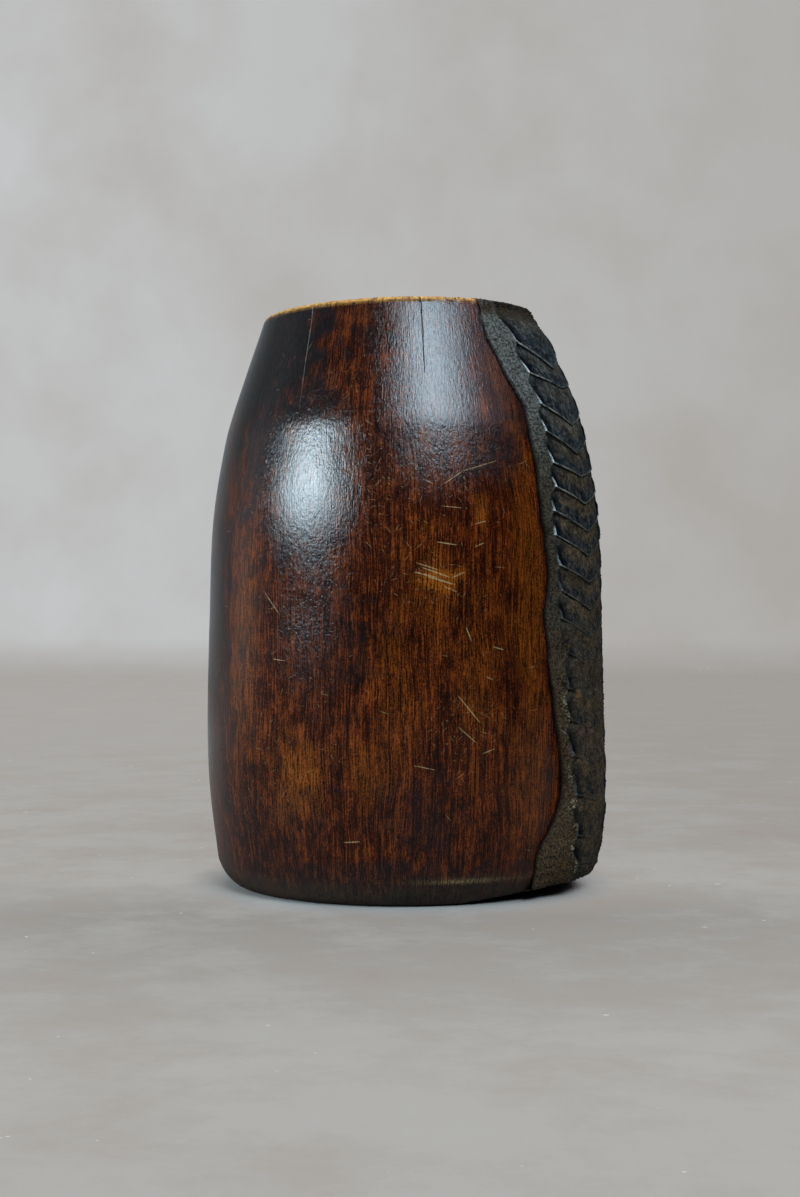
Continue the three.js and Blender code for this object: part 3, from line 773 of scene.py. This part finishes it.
# Fine scratches at random: size of the field that holds one scratch, half its length at most,
# half its width, and how many of the fields have one where scratches are few and where they crowd
scratchLayers = [
    {"field": 7, "halfLength": 3.2, "halfWidth": 0.2, "few": 0.06, "many": 0.75, "seed": 3},
    {"field": 2.5, "halfLength": 1.7, "halfWidth": 0.15, "few": 0.015, "many": 0.95, "seed": 9},
]


def makeWood():
    look = woodLook
    material, tree, shader, read = startMaterial(
        "hand_polished_hardwood", ("dark", "goldAndSheen", "scuffs", "worn", "arris", "foot", "crack", "filler", "inside"))
    place = addNode(tree, "ShaderNodeTexCoord").outputs["Object"]
    unrolled = addNode(tree, "ShaderNodeUVMap", uv_map="unrolled")

    # The grain runs up the side: each place is moved out onto an upright cylinder
    flat = addNode(tree, "ShaderNodeVectorMath", {0: place, 1: (1, 1, 0)}, operation="MULTIPLY")
    radius = addNode(tree, "ShaderNodeVectorMath", {0: flat}, operation="LENGTH").outputs["Value"]
    reach = addNode(tree, "ShaderNodeMapRange", {0: radius, 1: 0.0, 2: 0.08, 3: 0.06, 4: 0.074})
    flat = addNode(tree, "ShaderNodeVectorMath", {0: flat}, operation="NORMALIZE")
    flat = addNode(tree, "ShaderNodeVectorMath", {0: flat, "Scale": reach}, operation="SCALE")
    along = addNode(tree, "ShaderNodeVectorMath", {0: place, 1: (0, 0, 1)}, operation="MULTIPLY")
    along = addNode(tree, "ShaderNodeVectorMath", {0: along, 1: flat}, operation="ADD")
    waver = addNode(tree, "ShaderNodeTexNoise", {"Vector": place, "Scale": 1 / (look["waverSize"] * mm), "Detail": 1.0})
    waver = addNode(tree, "ShaderNodeVectorMath", {0: waver.outputs["Color"], "Scale": look["waver"] * mm},
                    operation="SCALE")
    along = addNode(tree, "ShaderNodeVectorMath", {0: along, 1: waver}, operation="ADD")

    patterns = {}
    for kind, detail in (("streak", 2.0), ("fleck", 2.0), ("figure", 2.0), ("cloud", 6.0), ("pore", 1.0),
                         ("ripple", 3.0)):
        width, length = look[kind + "Width"] * mm, look[kind + "Length"] * mm
        spread = addNode(tree, "ShaderNodeMapping", {"Vector": along, "Scale": (1 / width, 1 / width, 1 / length)})
        patterns[kind] = addNode(tree, "ShaderNodeTexNoise",
                                 {"Vector": spread, "Scale": 1.0, "Detail": detail, "Roughness": 0.65})
    streak, fleck, figure, cloud, pores, ripple = patterns.values()
    fine = addNode(tree, "ShaderNodeMix", {0: 0.42, 2: streak, 3: fleck})
    tone = fine
    for share, pattern in ((0.28, figure), (0.22, cloud)):
        tone = addNode(tree, "ShaderNodeMix", {0: share, 2: tone, 3: pattern})
    ramp = addNode(tree, "ShaderNodeValToRGB", {0: tone})
    stops = ramp.color_ramp.elements
    stops[0].position, stops[1].position = 0.425, 0.6
    stops[0].color, stops[1].color = linearColour(look["deep"]), linearColour(look["bright"])
    stops.new(0.505).color = linearColour(look["middle"])
    colour = ramp.outputs[0]
    poreShare = addNode(tree, "ShaderNodeMapRange", {0: pores, 1: 0.56, 2: 0.68, 3: 0.0, 4: 0.8})
    blotch = addNode(tree, "ShaderNodeMapRange", {0: cloud, 1: 0.34, 2: 0.64, 3: 1.25, 4: 0.8})
    streaky = addNode(tree, "ShaderNodeMapRange", {0: fine, 1: 0.42, 2: 0.58, 3: 0.1, 4: 1.2})

    # Scratches: the ones that can be told apart, and fine ones at random
    group = scratchGroup()
    mark = 0.0
    for startTurn, startHeight, endTurn, endHeight, width in scratches:
        start = (math.radians(startTurn) * vessel["bellyRadius"], startHeight, 0)
        reach = (math.radians(endTurn - startTurn) * vessel["bellyRadius"], endHeight - startHeight, 0)
        mark = addNode(tree, "ShaderNodeGroup", {
            "Place": unrolled, "Start": start, "Reach": reach, "Width": width * look["scratchSpread"], "Mark": mark,
        }, node_tree=group)
    for layer in scratchLayers:
        size = 1 / layer["field"]
        spread = addNode(tree, "ShaderNodeMapping",
                         {"Vector": unrolled, "Location": (layer["seed"], layer["seed"], 0), "Scale": (size, size, 1)})
        field = addNode(tree, "ShaderNodeTexVoronoi", {"Vector": spread, "Scale": 1.0, "Randomness": 0.8},
                        voronoi_dimensions="2D")
        chance = addNode(tree, "ShaderNodeSeparateXYZ", {0: field.outputs["Color"]})
        local = addNode(tree, "ShaderNodeVectorMath", {0: spread, 1: field.outputs["Position"]}, operation="SUBTRACT")
        local = addNode(tree, "ShaderNodeVectorMath", {0: local, "Scale": layer["field"]}, operation="SCALE")
        angle = addNode(tree, "ShaderNodeMapRange", {0: chance.outputs["X"], 3: -1.3, 4: 1.3})
        turned = addNode(tree, "ShaderNodeVectorRotate", {"Vector": local, "Angle": angle}, rotation_type="Z_AXIS")
        turned = addNode(tree, "ShaderNodeSeparateXYZ", {0: turned})
        across = turned.outputs["X"]    # every scratch is slightly bowed
        for operation, other in (("POWER", 2.0), ("MULTIPLY", 0.03), ("SUBTRACT", turned.outputs["Y"]),
                                 ("ABSOLUTE", 0.0)):
            across = addNode(tree, "ShaderNodeMath", {0: across, 1: other}, operation=operation)
        length = addNode(tree, "ShaderNodeMath", {0: chance.outputs["Y"], 1: layer["halfLength"]}, operation="MULTIPLY")
        past = addNode(tree, "ShaderNodeMath", {0: turned.outputs["X"]}, operation="ABSOLUTE")
        width = addNode(tree, "ShaderNodeMapRange", {0: past, 1: 0.0, 2: length, 3: layer["halfWidth"], 4: 0.0})
        line = addNode(tree, "ShaderNodeMapRange", {0: across, 1: width, 2: 0.0, 3: 0.0, 4: 0.6})
        likely = addNode(tree, "ShaderNodeMapRange", {0: read["scuffs"], 3: layer["few"], 4: layer["many"]})
        kept = addNode(tree, "ShaderNodeMath", {0: chance.outputs["Z"], 1: likely}, operation="LESS_THAN")
        line = addNode(tree, "ShaderNodeMath", {0: line, 1: kept}, operation="MULTIPLY")
        mark = addNode(tree, "ShaderNodeMath", {0: mark, 1: line}, operation="MAXIMUM")
    breaks = addNode(tree, "ShaderNodeMapRange", {0: streak, 1: 0.38, 2: 0.55, 3: 0.25, 4: 1.0})
    outsideOnly = addNode(tree, "ShaderNodeMath", {0: 1.0, 1: read["inside"]}, operation="SUBTRACT")
    for factor in (breaks, outsideOnly):
        mark = addNode(tree, "ShaderNodeMath", {0: mark, 1: factor}, operation="MULTIPLY")

    # Layers of colour over the grain, each broken up by a pattern of its own; some carry painted light as well as the
    # wood's own colour: sheen in the patina and one gold patch, highlights in the worn rim and arris line, shade in the
    # crack colour
    for share, broken, code in (
        (read["goldAndSheen"], streaky, "goldAndSheen"), (read["dark"], blotch, "patinaAndSheen"), (poreShare, 1.0, "deep"),
        (read["inside"], blotch, "inside"), (read["foot"], streaky, "foot"), (mark, 1.0, "scratch"),
        (read["worn"], streaky, "worn"), (read["arris"], streaky, "arris"),
        (read["filler"], 1.0, "filler"), (read["crack"], 1.0, "crack"),
    ):
        share = addNode(tree, "ShaderNodeMath", {0: share, 1: broken}, operation="MULTIPLY", use_clamp=True)
        colour = addNode(tree, "ShaderNodeMix", {0: share, 6: colour, 7: linearColour(look[code])},
                         data_type="RGBA").outputs[2]
    tree.links.new(colour, shader.inputs["Base Color"])

    # Duller between the clouds of polish and wherever the wood is bare or dirty
    rough = addNode(tree, "ShaderNodeMapRange",
                    {0: blotch, 1: 0.5, 2: 1.2, 3: look["roughness"] + 0.05, 4: look["roughness"] - 0.04})
    for share, level in ((read["dark"], look["patinaRoughness"]), (mark, 0.5), (read["worn"], 0.7), (read["foot"], 0.6),
                         (read["inside"], 0.6), (read["filler"], 0.6)):
        rough = addNode(tree, "ShaderNodeMix", {0: share, 2: rough, 3: level})
    tree.links.new(rough.outputs[0], shader.inputs["Roughness"])

    uneven = addNode(tree, "ShaderNodeMath", {0: fine, 1: 0.9, 2: ripple}, operation="MULTIPLY_ADD")
    bump = addNode(tree, "ShaderNodeBump", {"Strength": 1.0, "Distance": look["bumpDepth"] * mm, "Height": uneven})
    tree.links.new(bump.outputs[0], shader.inputs["Normal"])
    shader.inputs["IOR"].default_value = look["ior"]
    return material


# Natural resin mixed with grit, pressed on by hand and cut while soft: granular and dull where it was pressed,
# brown with dust under each lip, dark and glossy where hands polished it, with painted light: a bluish sheen on
# the polish, highlights along the lips, facets and crest lumps, and shade in the pockets and along the pressed edge
resinLook = {
    # flankHigh is partly a painted sheen on the upper flank
    "flankHigh": "#4d4e4a", "flankMiddle": "#2f291f", "flankLow": "#3d3020",
    # wedge is painted shade in the outer corner of each pocket; polished is partly a painted bluish sheen
    "dusty": "#3c3225", "dustyHigh": "#3a3935", "polishedSheen": "#17242c", "pocketShade": "#020508",
    # lip, facet and ridge are painted highlights: along the lips, on the facets at the pockets' outer ends and on grit
    # lumps along the crest
    "lip": "#8b8e87", "facetGlint": "#b6c1c5", "ridgeGlint": "#868066", "rimDirt": "#2f2417", "chip": "#6b4722",
    # joint is painted shade along the band's pressed edge
    "jointShade": "#0a0706",
    "grainSize": 0.75,         # real grains are about 0.4 mm; drawn coarser so that they show
    "mottleSize": 1.7, "blotchSize": 5,
    "flankRoughness": 0.75, "dustyRoughness": 0.75, "polishedSheenRoughness": 0.35, "facetGlintRoughness": 0.25,
    "specular": 0.14, "bumpDepth": 0.5,
}


def makeResin():
    look = resinLook
    material, tree, shader, read = startMaterial("gritty_plant_resin", ("fall", "fromCrest", "fromEdge", "carved"))
    place = addNode(tree, "ShaderNodeTexCoord").outputs["Object"]
    height = addNode(tree, "ShaderNodeSeparateXYZ", {0: place}).outputs["Z"]
    grains, mottle, blotch = (
        addNode(tree, "ShaderNodeTexNoise",
                {"Vector": place, "Scale": 1 / (look[size] * mm), "Detail": detail, "Roughness": roughness})
        for size, detail, roughness in (("grainSize", 2.0, 0.6), ("mottleSize", 4.0, 0.65), ("blotchSize", 4.0, 0.6)))
    fall, fromCrest = read["fall"], read["fromCrest"]
    offCrest = addNode(tree, "ShaderNodeMath", {0: fromCrest}, operation="ABSOLUTE")
    # The painted highlight on the facet at the outer end of a pocket gets wider towards the lip
    facetWidth = addNode(tree, "ShaderNodeMapRange", {0: fall, 1: 0.6, 2: 1.0, 3: 0.22, 4: 0.58})
    fromFacet = fromCrest
    for operation, other in (("SUBTRACT", 0.15), ("ABSOLUTE", 0.0), ("DIVIDE", facetWidth)):
        fromFacet = addNode(tree, "ShaderNodeMath", {0: fromFacet, 1: other}, operation=operation)

    # Each share goes from its first value to its second while its source runs from start to end
    shares = {"carved": read["carved"]}
    for name, source, start, end, first, second in (
        # greyUp: the upper flank's grey is partly a painted sheen
        ("greyUp", height, 0.145, 0.18, 0.0, 1.0), ("brownDown", height, 0.1, 0.06, 0.0, 1.0),
        ("sand", grains, 0.36, 0.64, 0.25, 1.85), ("dust", grains, 0.35, 0.65, 0.5, 1.5),
        ("mottled", mottle, 0.35, 0.65, 0.4, 1.6), ("stained", blotch, 0.4, 0.62, 0.6, 1.4),
        ("ragged", blotch, 0.35, 0.62, 0.0, 1.0), ("patchy", mottle, 0.38, 0.62, 1.0, 0.35),
        ("lowerFace", fall, 0.3, 0.65, 0.0, 1.0), ("outerFace", fromCrest, -8.0, -4.0, 0.0, 0.6),
        ("wornDown", height, 0.13, 0.08, 0.0, 0.6), ("onFlank", fromCrest, -0.3, 0.5, 0.0, 1.0),
        ("inPanel", fromCrest, 0.1, 0.6, 1.0, 0.0), ("chipSpots", blotch, 0.65, 0.7, 0.0, 1.1),
        # The wedge shares place painted shade in each pocket beside the crest
        ("wedgeAcross", fromCrest, -6.0, -2.6, 0.0, 1.0), ("wedgeDown", fall, 0.12, 0.4, 0.0, 1.0),
        ("wedgeKept", blotch, 0.45, 0.65, 1.0, 0.6), ("ridgeAcross", offCrest, 0.3, 1.3, 0.8, 0.0),
        # The ridge shares place painted highlights on grit lumps along the crest low down
        ("ridgeSpots", blotch, 0.48, 0.56, 0.0, 1.0), ("ridgeGrains", grains, 0.48, 0.6, 0.0, 1.2),
        ("ridgeDown", height, 0.08, 0.06, 0.0, 1.0), ("uneven", blotch, 0.42, 0.58, 1.0, 0.15),
        ("lipKept", height, 0.09, 0.15, 0.12, 1.0), ("facetKept", height, 0.1, 0.155, 0.08, 1.0),
        # The lip shares place a painted highlight along each lip
        ("lipTop", fall, 0.93, 0.965, 0.0, 1.0), ("lipBottom", fall, 1.03, 1.005, 0.0, 1.0),
        ("towardsTip", fromCrest, -14.0, -2.0, 0.35, 0.9), ("facetAcross", fromFacet, 0.3, 1.0, 1.0, 0.0),
        ("facetDown", fall, 0.58, 0.75, 0.0, 1.0), ("rimHeight", height, 0.2035, 0.2075, 0.0, 1.0),
        # The joint share paints shade along the band's pressed edge
        ("rimPatches", blotch, 0.4, 0.55, 0.4, 0.95), ("jointShade", read["fromEdge"], 0.0, 0.8, 0.9, 0.0),
    ):
        shares[name] = addNode(tree, "ShaderNodeMapRange", {0: source, 1: start, 2: end, 3: first, 4: second})
    for name, parts in (
        ("worn", ("wornDown", "ragged")), ("pocketShade", ("wedgeAcross", "wedgeDown", "inPanel", "wedgeKept", "carved")),
        ("ridgeGlint", ("ridgeAcross", "ridgeSpots", "ridgeGrains", "ridgeDown")),
        ("chip", ("chipSpots", "wornDown")), ("rimDirt", ("rimHeight", "rimPatches")),
        ("lip", ("lipTop", "lipBottom", "inPanel", "towardsTip", "carved", "uneven", "lipKept")),
        ("facetGlint", ("facetAcross", "facetDown", "carved", "uneven", "facetKept")),
    ):
        product = shares[parts[0]]
        for part in parts[1:]:
            product = addNode(tree, "ShaderNodeMath", {0: product, 1: shares[part]}, operation="MULTIPLY")
        shares[name] = product

    # Hands polished the lower half of each face and its outer end, whose bluish colour is partly a painted sheen; grit
    # shows where the cuts wore away
    polishAndSheen = addNode(tree, "ShaderNodeMath", {0: shares["lowerFace"], 1: shares["outerFace"]}, operation="MAXIMUM")
    unworn = addNode(tree, "ShaderNodeMath", {0: 1.0, 1: shares["worn"]}, operation="SUBTRACT")
    for factor in (shares["patchy"], unworn):
        polishAndSheen = addNode(tree, "ShaderNodeMath", {0: polishAndSheen, 1: factor}, operation="MULTIPLY")
    gritty = addNode(tree, "ShaderNodeMath", {0: shares["onFlank"], 1: shares["worn"]}, operation="MAXIMUM")

    # Flank: grey above (partly a painted sheen), brown below, every grain lighter or darker than the next;
    # face: dusty, or polished with a painted bluish sheen
    flank, face = linearColour(look["flankMiddle"]), linearColour(look["dusty"])
    for share, code in ((shares["greyUp"], "flankHigh"), (shares["brownDown"], "flankLow")):
        flank = addNode(tree, "ShaderNodeMix", {0: share, 6: flank, 7: linearColour(look[code])},
                        data_type="RGBA").outputs[2]
    for share, code in ((shares["greyUp"], "dustyHigh"), (polishAndSheen, "polishedSheen")):
        face = addNode(tree, "ShaderNodeMix", {0: share, 6: face, 7: linearColour(look[code])},
                       data_type="RGBA").outputs[2]
    flank = addNode(tree, "ShaderNodeVectorMath", {0: flank, "Scale": shares["sand"]}, operation="SCALE").outputs[0]
    for name in ("dust", "mottled", "stained"):
        face = addNode(tree, "ShaderNodeVectorMath", {0: face, "Scale": shares[name]}, operation="SCALE").outputs[0]
    colour = addNode(tree, "ShaderNodeMix", {0: gritty, 6: face, 7: flank}, data_type="RGBA").outputs[2]
    # Over these: painted shade in the pockets and along the pressed edge, painted highlights on crest lumps, lips and
    # facets, and the resin's own brown chips and rim dirt
    for name in ("pocketShade", "ridgeGlint", "chip", "lip", "facetGlint", "rimDirt", "jointShade"):
        colour = addNode(tree, "ShaderNodeMix", {0: shares[name], 6: colour, 7: linearColour(look[name])},
                         data_type="RGBA").outputs[2]
    tree.links.new(colour, shader.inputs["Base Color"])

    rough = look["dustyRoughness"]
    for share, name in ((polishAndSheen, "polishedSheen"), (gritty, "flank"), (shares["facetGlint"], "facetGlint")):
        rough = addNode(tree, "ShaderNodeMix", {0: share, 2: rough, 3: look[name + "Roughness"]})
    tree.links.new(rough.outputs[0], shader.inputs["Roughness"])
    strength = addNode(tree, "ShaderNodeMapRange", {0: shares["onFlank"], 3: 0.3, 4: 1.0})
    bump = addNode(tree, "ShaderNodeBump", {"Strength": strength, "Distance": look["bumpDepth"] * mm, "Height": grains})
    tree.links.new(bump.outputs[0], shader.inputs["Normal"])
    shader.inputs["Specular IOR Level"].default_value = look["specular"]
    return material


stage = {
    "wallDistance": 2000, "coveRadius": 160, "toLeft": 4200, "toRight": 1000, "wallHeight": 3200, "floorDepth": 2600,
    "wallLeft": "#c3c5c6", "wallRight": "#b1b0ae",
    "floorNear": "#adaba8", "floorFar": "#a9a6a3", "floorRight": "#9b9793",
    "floorShadowFront": "#959390",  # painted shadow in front of the object's foot
    "stain": "#9c9085", "pale": "#b1b0ad", "speck": "#dcdcda",
    "cloudSize": 294.1, "mottleSize": 62.5, "speckSize": 6.667, "roughness": 0.8,
    "shadowKept": 0.1,         # the object's shadow shows this strongly on the floor beyond its foot
    "reflectionKept": 0.16,    # so much of the floor's light shows in the polish low on the object
}


# Floor and wall in one sheet with a rounded cove, square to the camera
def makeStage():
    back = stage["wallDistance"]
    cove = stage["coveRadius"]
    outline = [(-stage["floorDepth"], 0), (-600, 0), (0, 0), (600, 0), (back - cove, 0)]
    for angle in np.linspace(0, math.pi / 2, 9)[1:]:
        outline.append((back - cove + cove * math.sin(angle), cove - cove * math.cos(angle)))
    outline += [(back, 900), (back, stage["wallHeight"])]
    turn = math.radians(camera["azimuth"])
    points = []
    for depth, height in outline:
        for across in (-stage["toLeft"], stage["toRight"]):
            x = across * math.cos(turn) - depth * math.sin(turn)
            y = across * math.sin(turn) + depth * math.cos(turn)
            points.append((x, y, height))
    faces = [(2 * row, 2 * row + 1, 2 * row + 3, 2 * row + 2) for row in range(len(outline) - 1)]
    sheet = makeObject("floor_and_wall", points, faces, {})
    material = bpy.data.materials.new("pale_plaster")
    material.use_nodes = True
    tree = material.node_tree
    shader = tree.nodes["Principled BSDF"]
    place = addNode(tree, "ShaderNodeTexCoord").outputs["Object"]
    height = addNode(tree, "ShaderNodeSeparateXYZ", {0: place}).outputs["Z"]
    deep = addNode(tree, "ShaderNodeVectorMath", {0: place, 1: (-math.sin(turn), math.cos(turn), 0)},
                   operation="DOT_PRODUCT").outputs["Value"]
    across = addNode(tree, "ShaderNodeVectorMath", {0: place, 1: (math.cos(turn), math.sin(turn), 0)},
                     operation="DOT_PRODUCT").outputs["Value"]
    away = addNode(tree, "ShaderNodeVectorMath", {0: place}, operation="LENGTH").outputs["Value"]
    clouds, mottle, specks = (
        addNode(tree, "ShaderNodeTexNoise",
                {"Vector": place, "Scale": 1 / (stage[size] * mm), "Detail": detail, "Roughness": roughness})
        for size, detail, roughness in (("cloudSize", 4.0, 0.55), ("mottleSize", 9.0, 0.72), ("speckSize", 2.0, 0.5)))

    # Each share goes from its first value to its second while its source, in metres, runs from start to end
    share = {}
    shadowKept, dimmed = stage["shadowKept"], 1 - stage["reflectionKept"]
    for name, source, start, end, first, second in (
        ("far", deep, -0.3, 1.6, 0.0, 1.0), ("beyondAxis", deep, 0.02, 0.12, 0.0, 1.0),
        # atFoot and inFront place the painted shadow on the floor in front of the foot
        ("inFront", deep, -0.08, 0.0, 1.0, 0.0), ("atFoot", away, 0.1, 0.28, 1.0, 0.0),
        ("floorRight", across, -0.15, 0.2, 0.0, 0.6), ("wallRight", across, -0.5, 0.5, 0.0, 1.0),
        ("onWall", height, 0.0, 0.05, 0.0, 1.0), ("wallStain", clouds, 0.4, 0.75, 0.0, 0.4),
        ("near", away, 0.2, 0.8, 1.0, 0.25), ("stain", mottle, 0.46, 0.75, 0.0, 0.65),
        ("pale", mottle, 0.5, 0.25, 0.0, 0.65), ("speck", specks, 0.745, 0.77, 0.0, 0.7),
        ("beyondFoot", away, 0.064, 0.082, 0.0, 1 - shadowKept), ("dimmed", deep, -0.2, 0.6, dimmed, 0.0),
        ("dimmedHigh", height, 0.5, 1.3, 0.0, 0.4), ("dimmedRight", across, 0.1, 0.8, 0.0, 0.6),
    ):
        share[name] = addNode(tree, "ShaderNodeMapRange", {0: source, 1: start, 2: end, 3: first, 4: second})
    for name, other in (("floorRight", "beyondAxis"), ("atFoot", "inFront"), ("stain", "near"), ("pale", "near")):
        share[name] = addNode(tree, "ShaderNodeMath", {0: share[name], 1: share[other]}, operation="MULTIPLY")

    # Colours: the wall greyer to the right, brown stains in both, pale ones near the object, and a painted shadow
    # on the floor in front of the foot
    floor, wall = linearColour(stage["floorNear"]), linearColour(stage["wallLeft"])
    for name, code in (("far", "floorFar"), ("floorRight", "floorRight"), ("atFoot", "floorShadowFront"), ("stain", "stain"),
                       ("pale", "pale"), ("speck", "speck")):
        floor = addNode(tree, "ShaderNodeMix", {0: share[name], 6: floor, 7: linearColour(stage[code])},
                        data_type="RGBA").outputs[2]
    for name, code in (("wallRight", "wallRight"), ("wallStain", "stain")):
        wall = addNode(tree, "ShaderNodeMix", {0: share[name], 6: wall, 7: linearColour(stage[code])},
                       data_type="RGBA").outputs[2]
    colour = addNode(tree, "ShaderNodeMix", {0: share["onWall"], 6: floor, 7: wall}, data_type="RGBA").outputs[2]
    tree.links.new(colour, shader.inputs["Base Color"])
    shader.inputs["Roughness"].default_value = stage["roughness"]

    # The camera sees the sheet's own colour more and more with distance, so that the backdrop is even
    path = addNode(tree, "ShaderNodeLightPath").outputs
    beyond = addNode(tree, "ShaderNodeMapRange", {0: away, 1: 0.2, 2: 1.3, 3: 0.0, 4: shadowKept},
                     interpolation_type="SMOOTHSTEP")
    seen = addNode(tree, "ShaderNodeMath", {0: share["beyondFoot"], 1: beyond}, operation="ADD")
    seen = addNode(tree, "ShaderNodeMath", {0: seen, 1: path["Is Camera Ray"]}, operation="MULTIPLY")
    mirrored = addNode(tree, "ShaderNodeMath", {0: beyond, 1: path["Is Glossy Ray"]}, operation="MULTIPLY")
    seen = addNode(tree, "ShaderNodeMath", {0: seen, 1: mirrored}, operation="ADD")
    glow = addNode(tree, "ShaderNodeEmission", {"Color": colour, "Strength": 1.0})
    mixed = addNode(tree, "ShaderNodeMixShader", {0: seen, 1: shader, 2: glow})

    # The polish mirrors the sheet dimly, as it would a floor and walls with things in the room before them
    hidden = share["dimmed"]
    for operation, other in (("MAXIMUM", share["dimmedHigh"]), ("MAXIMUM", share["dimmedRight"]),
                             ("MULTIPLY", path["Is Glossy Ray"])):
        hidden = addNode(tree, "ShaderNodeMath", {0: hidden, 1: other}, operation=operation)
    black = addNode(tree, "ShaderNodeEmission", {"Strength": 0.0})
    mixed = addNode(tree, "ShaderNodeMixShader", {0: hidden, 1: mixed, 2: black})
    tree.links.new(mixed.outputs[0], tree.nodes["Material Output"].inputs["Surface"])
    sheet.data.materials.append(material)
    return sheet


camera = {
    "azimuth": 25, "distance": 704.5, "height": 105.5, "focalPixels": 1882, "imageHeight": 1197, "axisOffset": 1.0,
}

# Windows as soft boxes: degrees right of the camera and up, distance and size in mm, radiance and colour.
# A sky is the brighter middle of the window that it is named after
windows = [
    {"name": "tall_window", "shape": "RECTANGLE", "right": 24, "up": 40, "distance": 1600, "width": 800, "height": 700,
     "radiance": 9.6, "colour": "#d6edfc"},
    {"name": "tall_sky", "shape": "ELLIPSE", "right": 22, "up": 41, "distance": 1600, "width": 560, "height": 560,
     "radiance": 6.5, "colour": "#d6edfc"},
    {"name": "dim_window", "shape": "RECTANGLE", "right": 55, "up": 38, "distance": 1600, "width": 900, "height": 700,
     "radiance": 1.1, "colour": "#f2ecff"},
    {"name": "side_window", "shape": "ELLIPSE", "right": -57, "up": 17, "distance": 1800, "width": 1150, "height": 660,
     "radiance": 11.5, "colour": "#d8effc"},
    {"name": "side_sky", "shape": "ELLIPSE", "right": -59, "up": 20, "distance": 1800, "width": 700, "height": 420,
     "radiance": 13, "colour": "#e2f3fc"},
]
windowAim = 120    # they face the axis at this height
overhead = {"strength": 1.75, "softness": 100, "tilt": -18, "colour": "#fff3e6"}
surround = {
    "front": "#1c1d20", "behind": "#e8ecf4",
    "brightTurn": 40,    # the bright end of the room is behind the object and this far round to the left
    "highShare": 0.45,   # so much of its light is left high up
}


def makeLights():
    for window in windows:
        lamp = bpy.data.lights.new(window["name"], "AREA")
        lamp.shape = window["shape"]
        lamp.size = window["width"] * mm
        lamp.size_y = window["height"] * mm
        area = lamp.size * lamp.size_y * (math.pi / 4 if window["shape"] == "ELLIPSE" else 1)
        lamp.energy = window["radiance"] * math.pi * area
        lamp.color = linearColour(window["colour"])[:3]
        turn = math.radians(camera["azimuth"] + window["right"])
        up = math.radians(window["up"])
        aim = Vector((math.sin(turn) * math.cos(up), -math.cos(turn) * math.cos(up), math.sin(up)))
        made = bpy.data.objects.new(window["name"], lamp)
        made.location = aim * window["distance"] * mm + Vector((0, 0, windowAim * mm))
        made.rotation_euler = aim.to_track_quat("Z", "Y").to_euler()
        bpy.context.scene.collection.objects.link(made)
    ceiling = bpy.data.lights.new("ceiling", "SUN")
    ceiling.energy = overhead["strength"]
    ceiling.angle = math.radians(overhead["softness"])
    ceiling.color = linearColour(overhead["colour"])[:3]
    made = bpy.data.objects.new("ceiling", ceiling)
    made.rotation_euler = (math.radians(overhead["tilt"]), 0, math.radians(camera["azimuth"]))
    made.visible_glossy = False    # it stands for light from all over the room, too even to mirror
    bpy.context.scene.collection.objects.link(made)
    world = bpy.data.worlds.new("room")
    bpy.context.scene.world = world
    world.use_nodes = True
    tree = world.node_tree
    direction = addNode(tree, "ShaderNodeTexCoord").outputs["Generated"]
    turn = math.radians(camera["azimuth"] + surround["brightTurn"])
    behind = addNode(tree, "ShaderNodeVectorMath", {0: direction, 1: (-math.sin(turn), math.cos(turn), 0)},
                     operation="DOT_PRODUCT").outputs["Value"]
    share = addNode(tree, "ShaderNodeMapRange", {0: behind, 1: 0.4, 2: 1.05, 3: 0.0, 4: 1.0},
                    interpolation_type="SMOOTHSTEP")
    up = addNode(tree, "ShaderNodeSeparateXYZ", {0: direction}).outputs["Z"]
    up = addNode(tree, "ShaderNodeMapRange", {0: up, 1: 0.25, 2: 0.55, 3: 1.0, 4: surround["highShare"]})
    share = addNode(tree, "ShaderNodeMath", {0: share, 1: up}, operation="MULTIPLY")
    colour = addNode(tree, "ShaderNodeMix", {
        0: share, 6: linearColour(surround["front"]), 7: linearColour(surround["behind"]),
    }, data_type="RGBA").outputs[2]
    tree.links.new(colour, tree.nodes["Background"].inputs["Color"])


def makeCamera():
    lens = bpy.data.cameras.new("camera")
    lens.sensor_fit = "VERTICAL"
    lens.sensor_height = 36
    lens.sensor_width = 36
    lens.lens = camera["focalPixels"] * 36 / camera["imageHeight"]
    lens.shift_x = -camera["axisOffset"] / camera["imageHeight"]
    lens.clip_start = 0.01
    made = bpy.data.objects.new("camera", lens)
    turn = math.radians(camera["azimuth"])
    reach = camera["distance"] * mm
    made.location = (reach * math.sin(turn), -reach * math.cos(turn), camera["height"] * mm)
    made.rotation_euler = (math.pi / 2, 0, turn)
    bpy.context.scene.collection.objects.link(made)
    bpy.context.scene.camera = made
    bpy.context.scene.view_settings.view_transform = "Standard"


print("frame loaded")
makeCamera()
makeLights()
makeStage()
carvedVessel = makeVessel()
carvedVessel.data.materials.append(makeWood())
print("vessel", len(carvedVessel.data.polygons), "faces")
blank = makeBlank()
tree, values = shingleTree(makeResin())
carvedBand = bakeTree(blank, tree, values, "shingled_band")
print("band", len(carvedBand.data.polygons), "faces")

for piece, node, slot in (
    (carvedVessel, "wooden_vessel", "oiled_dark_wood"),
    (carvedBand, "resin_band", "gritty_resin"),
):
    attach(piece, "root")
    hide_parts(node)
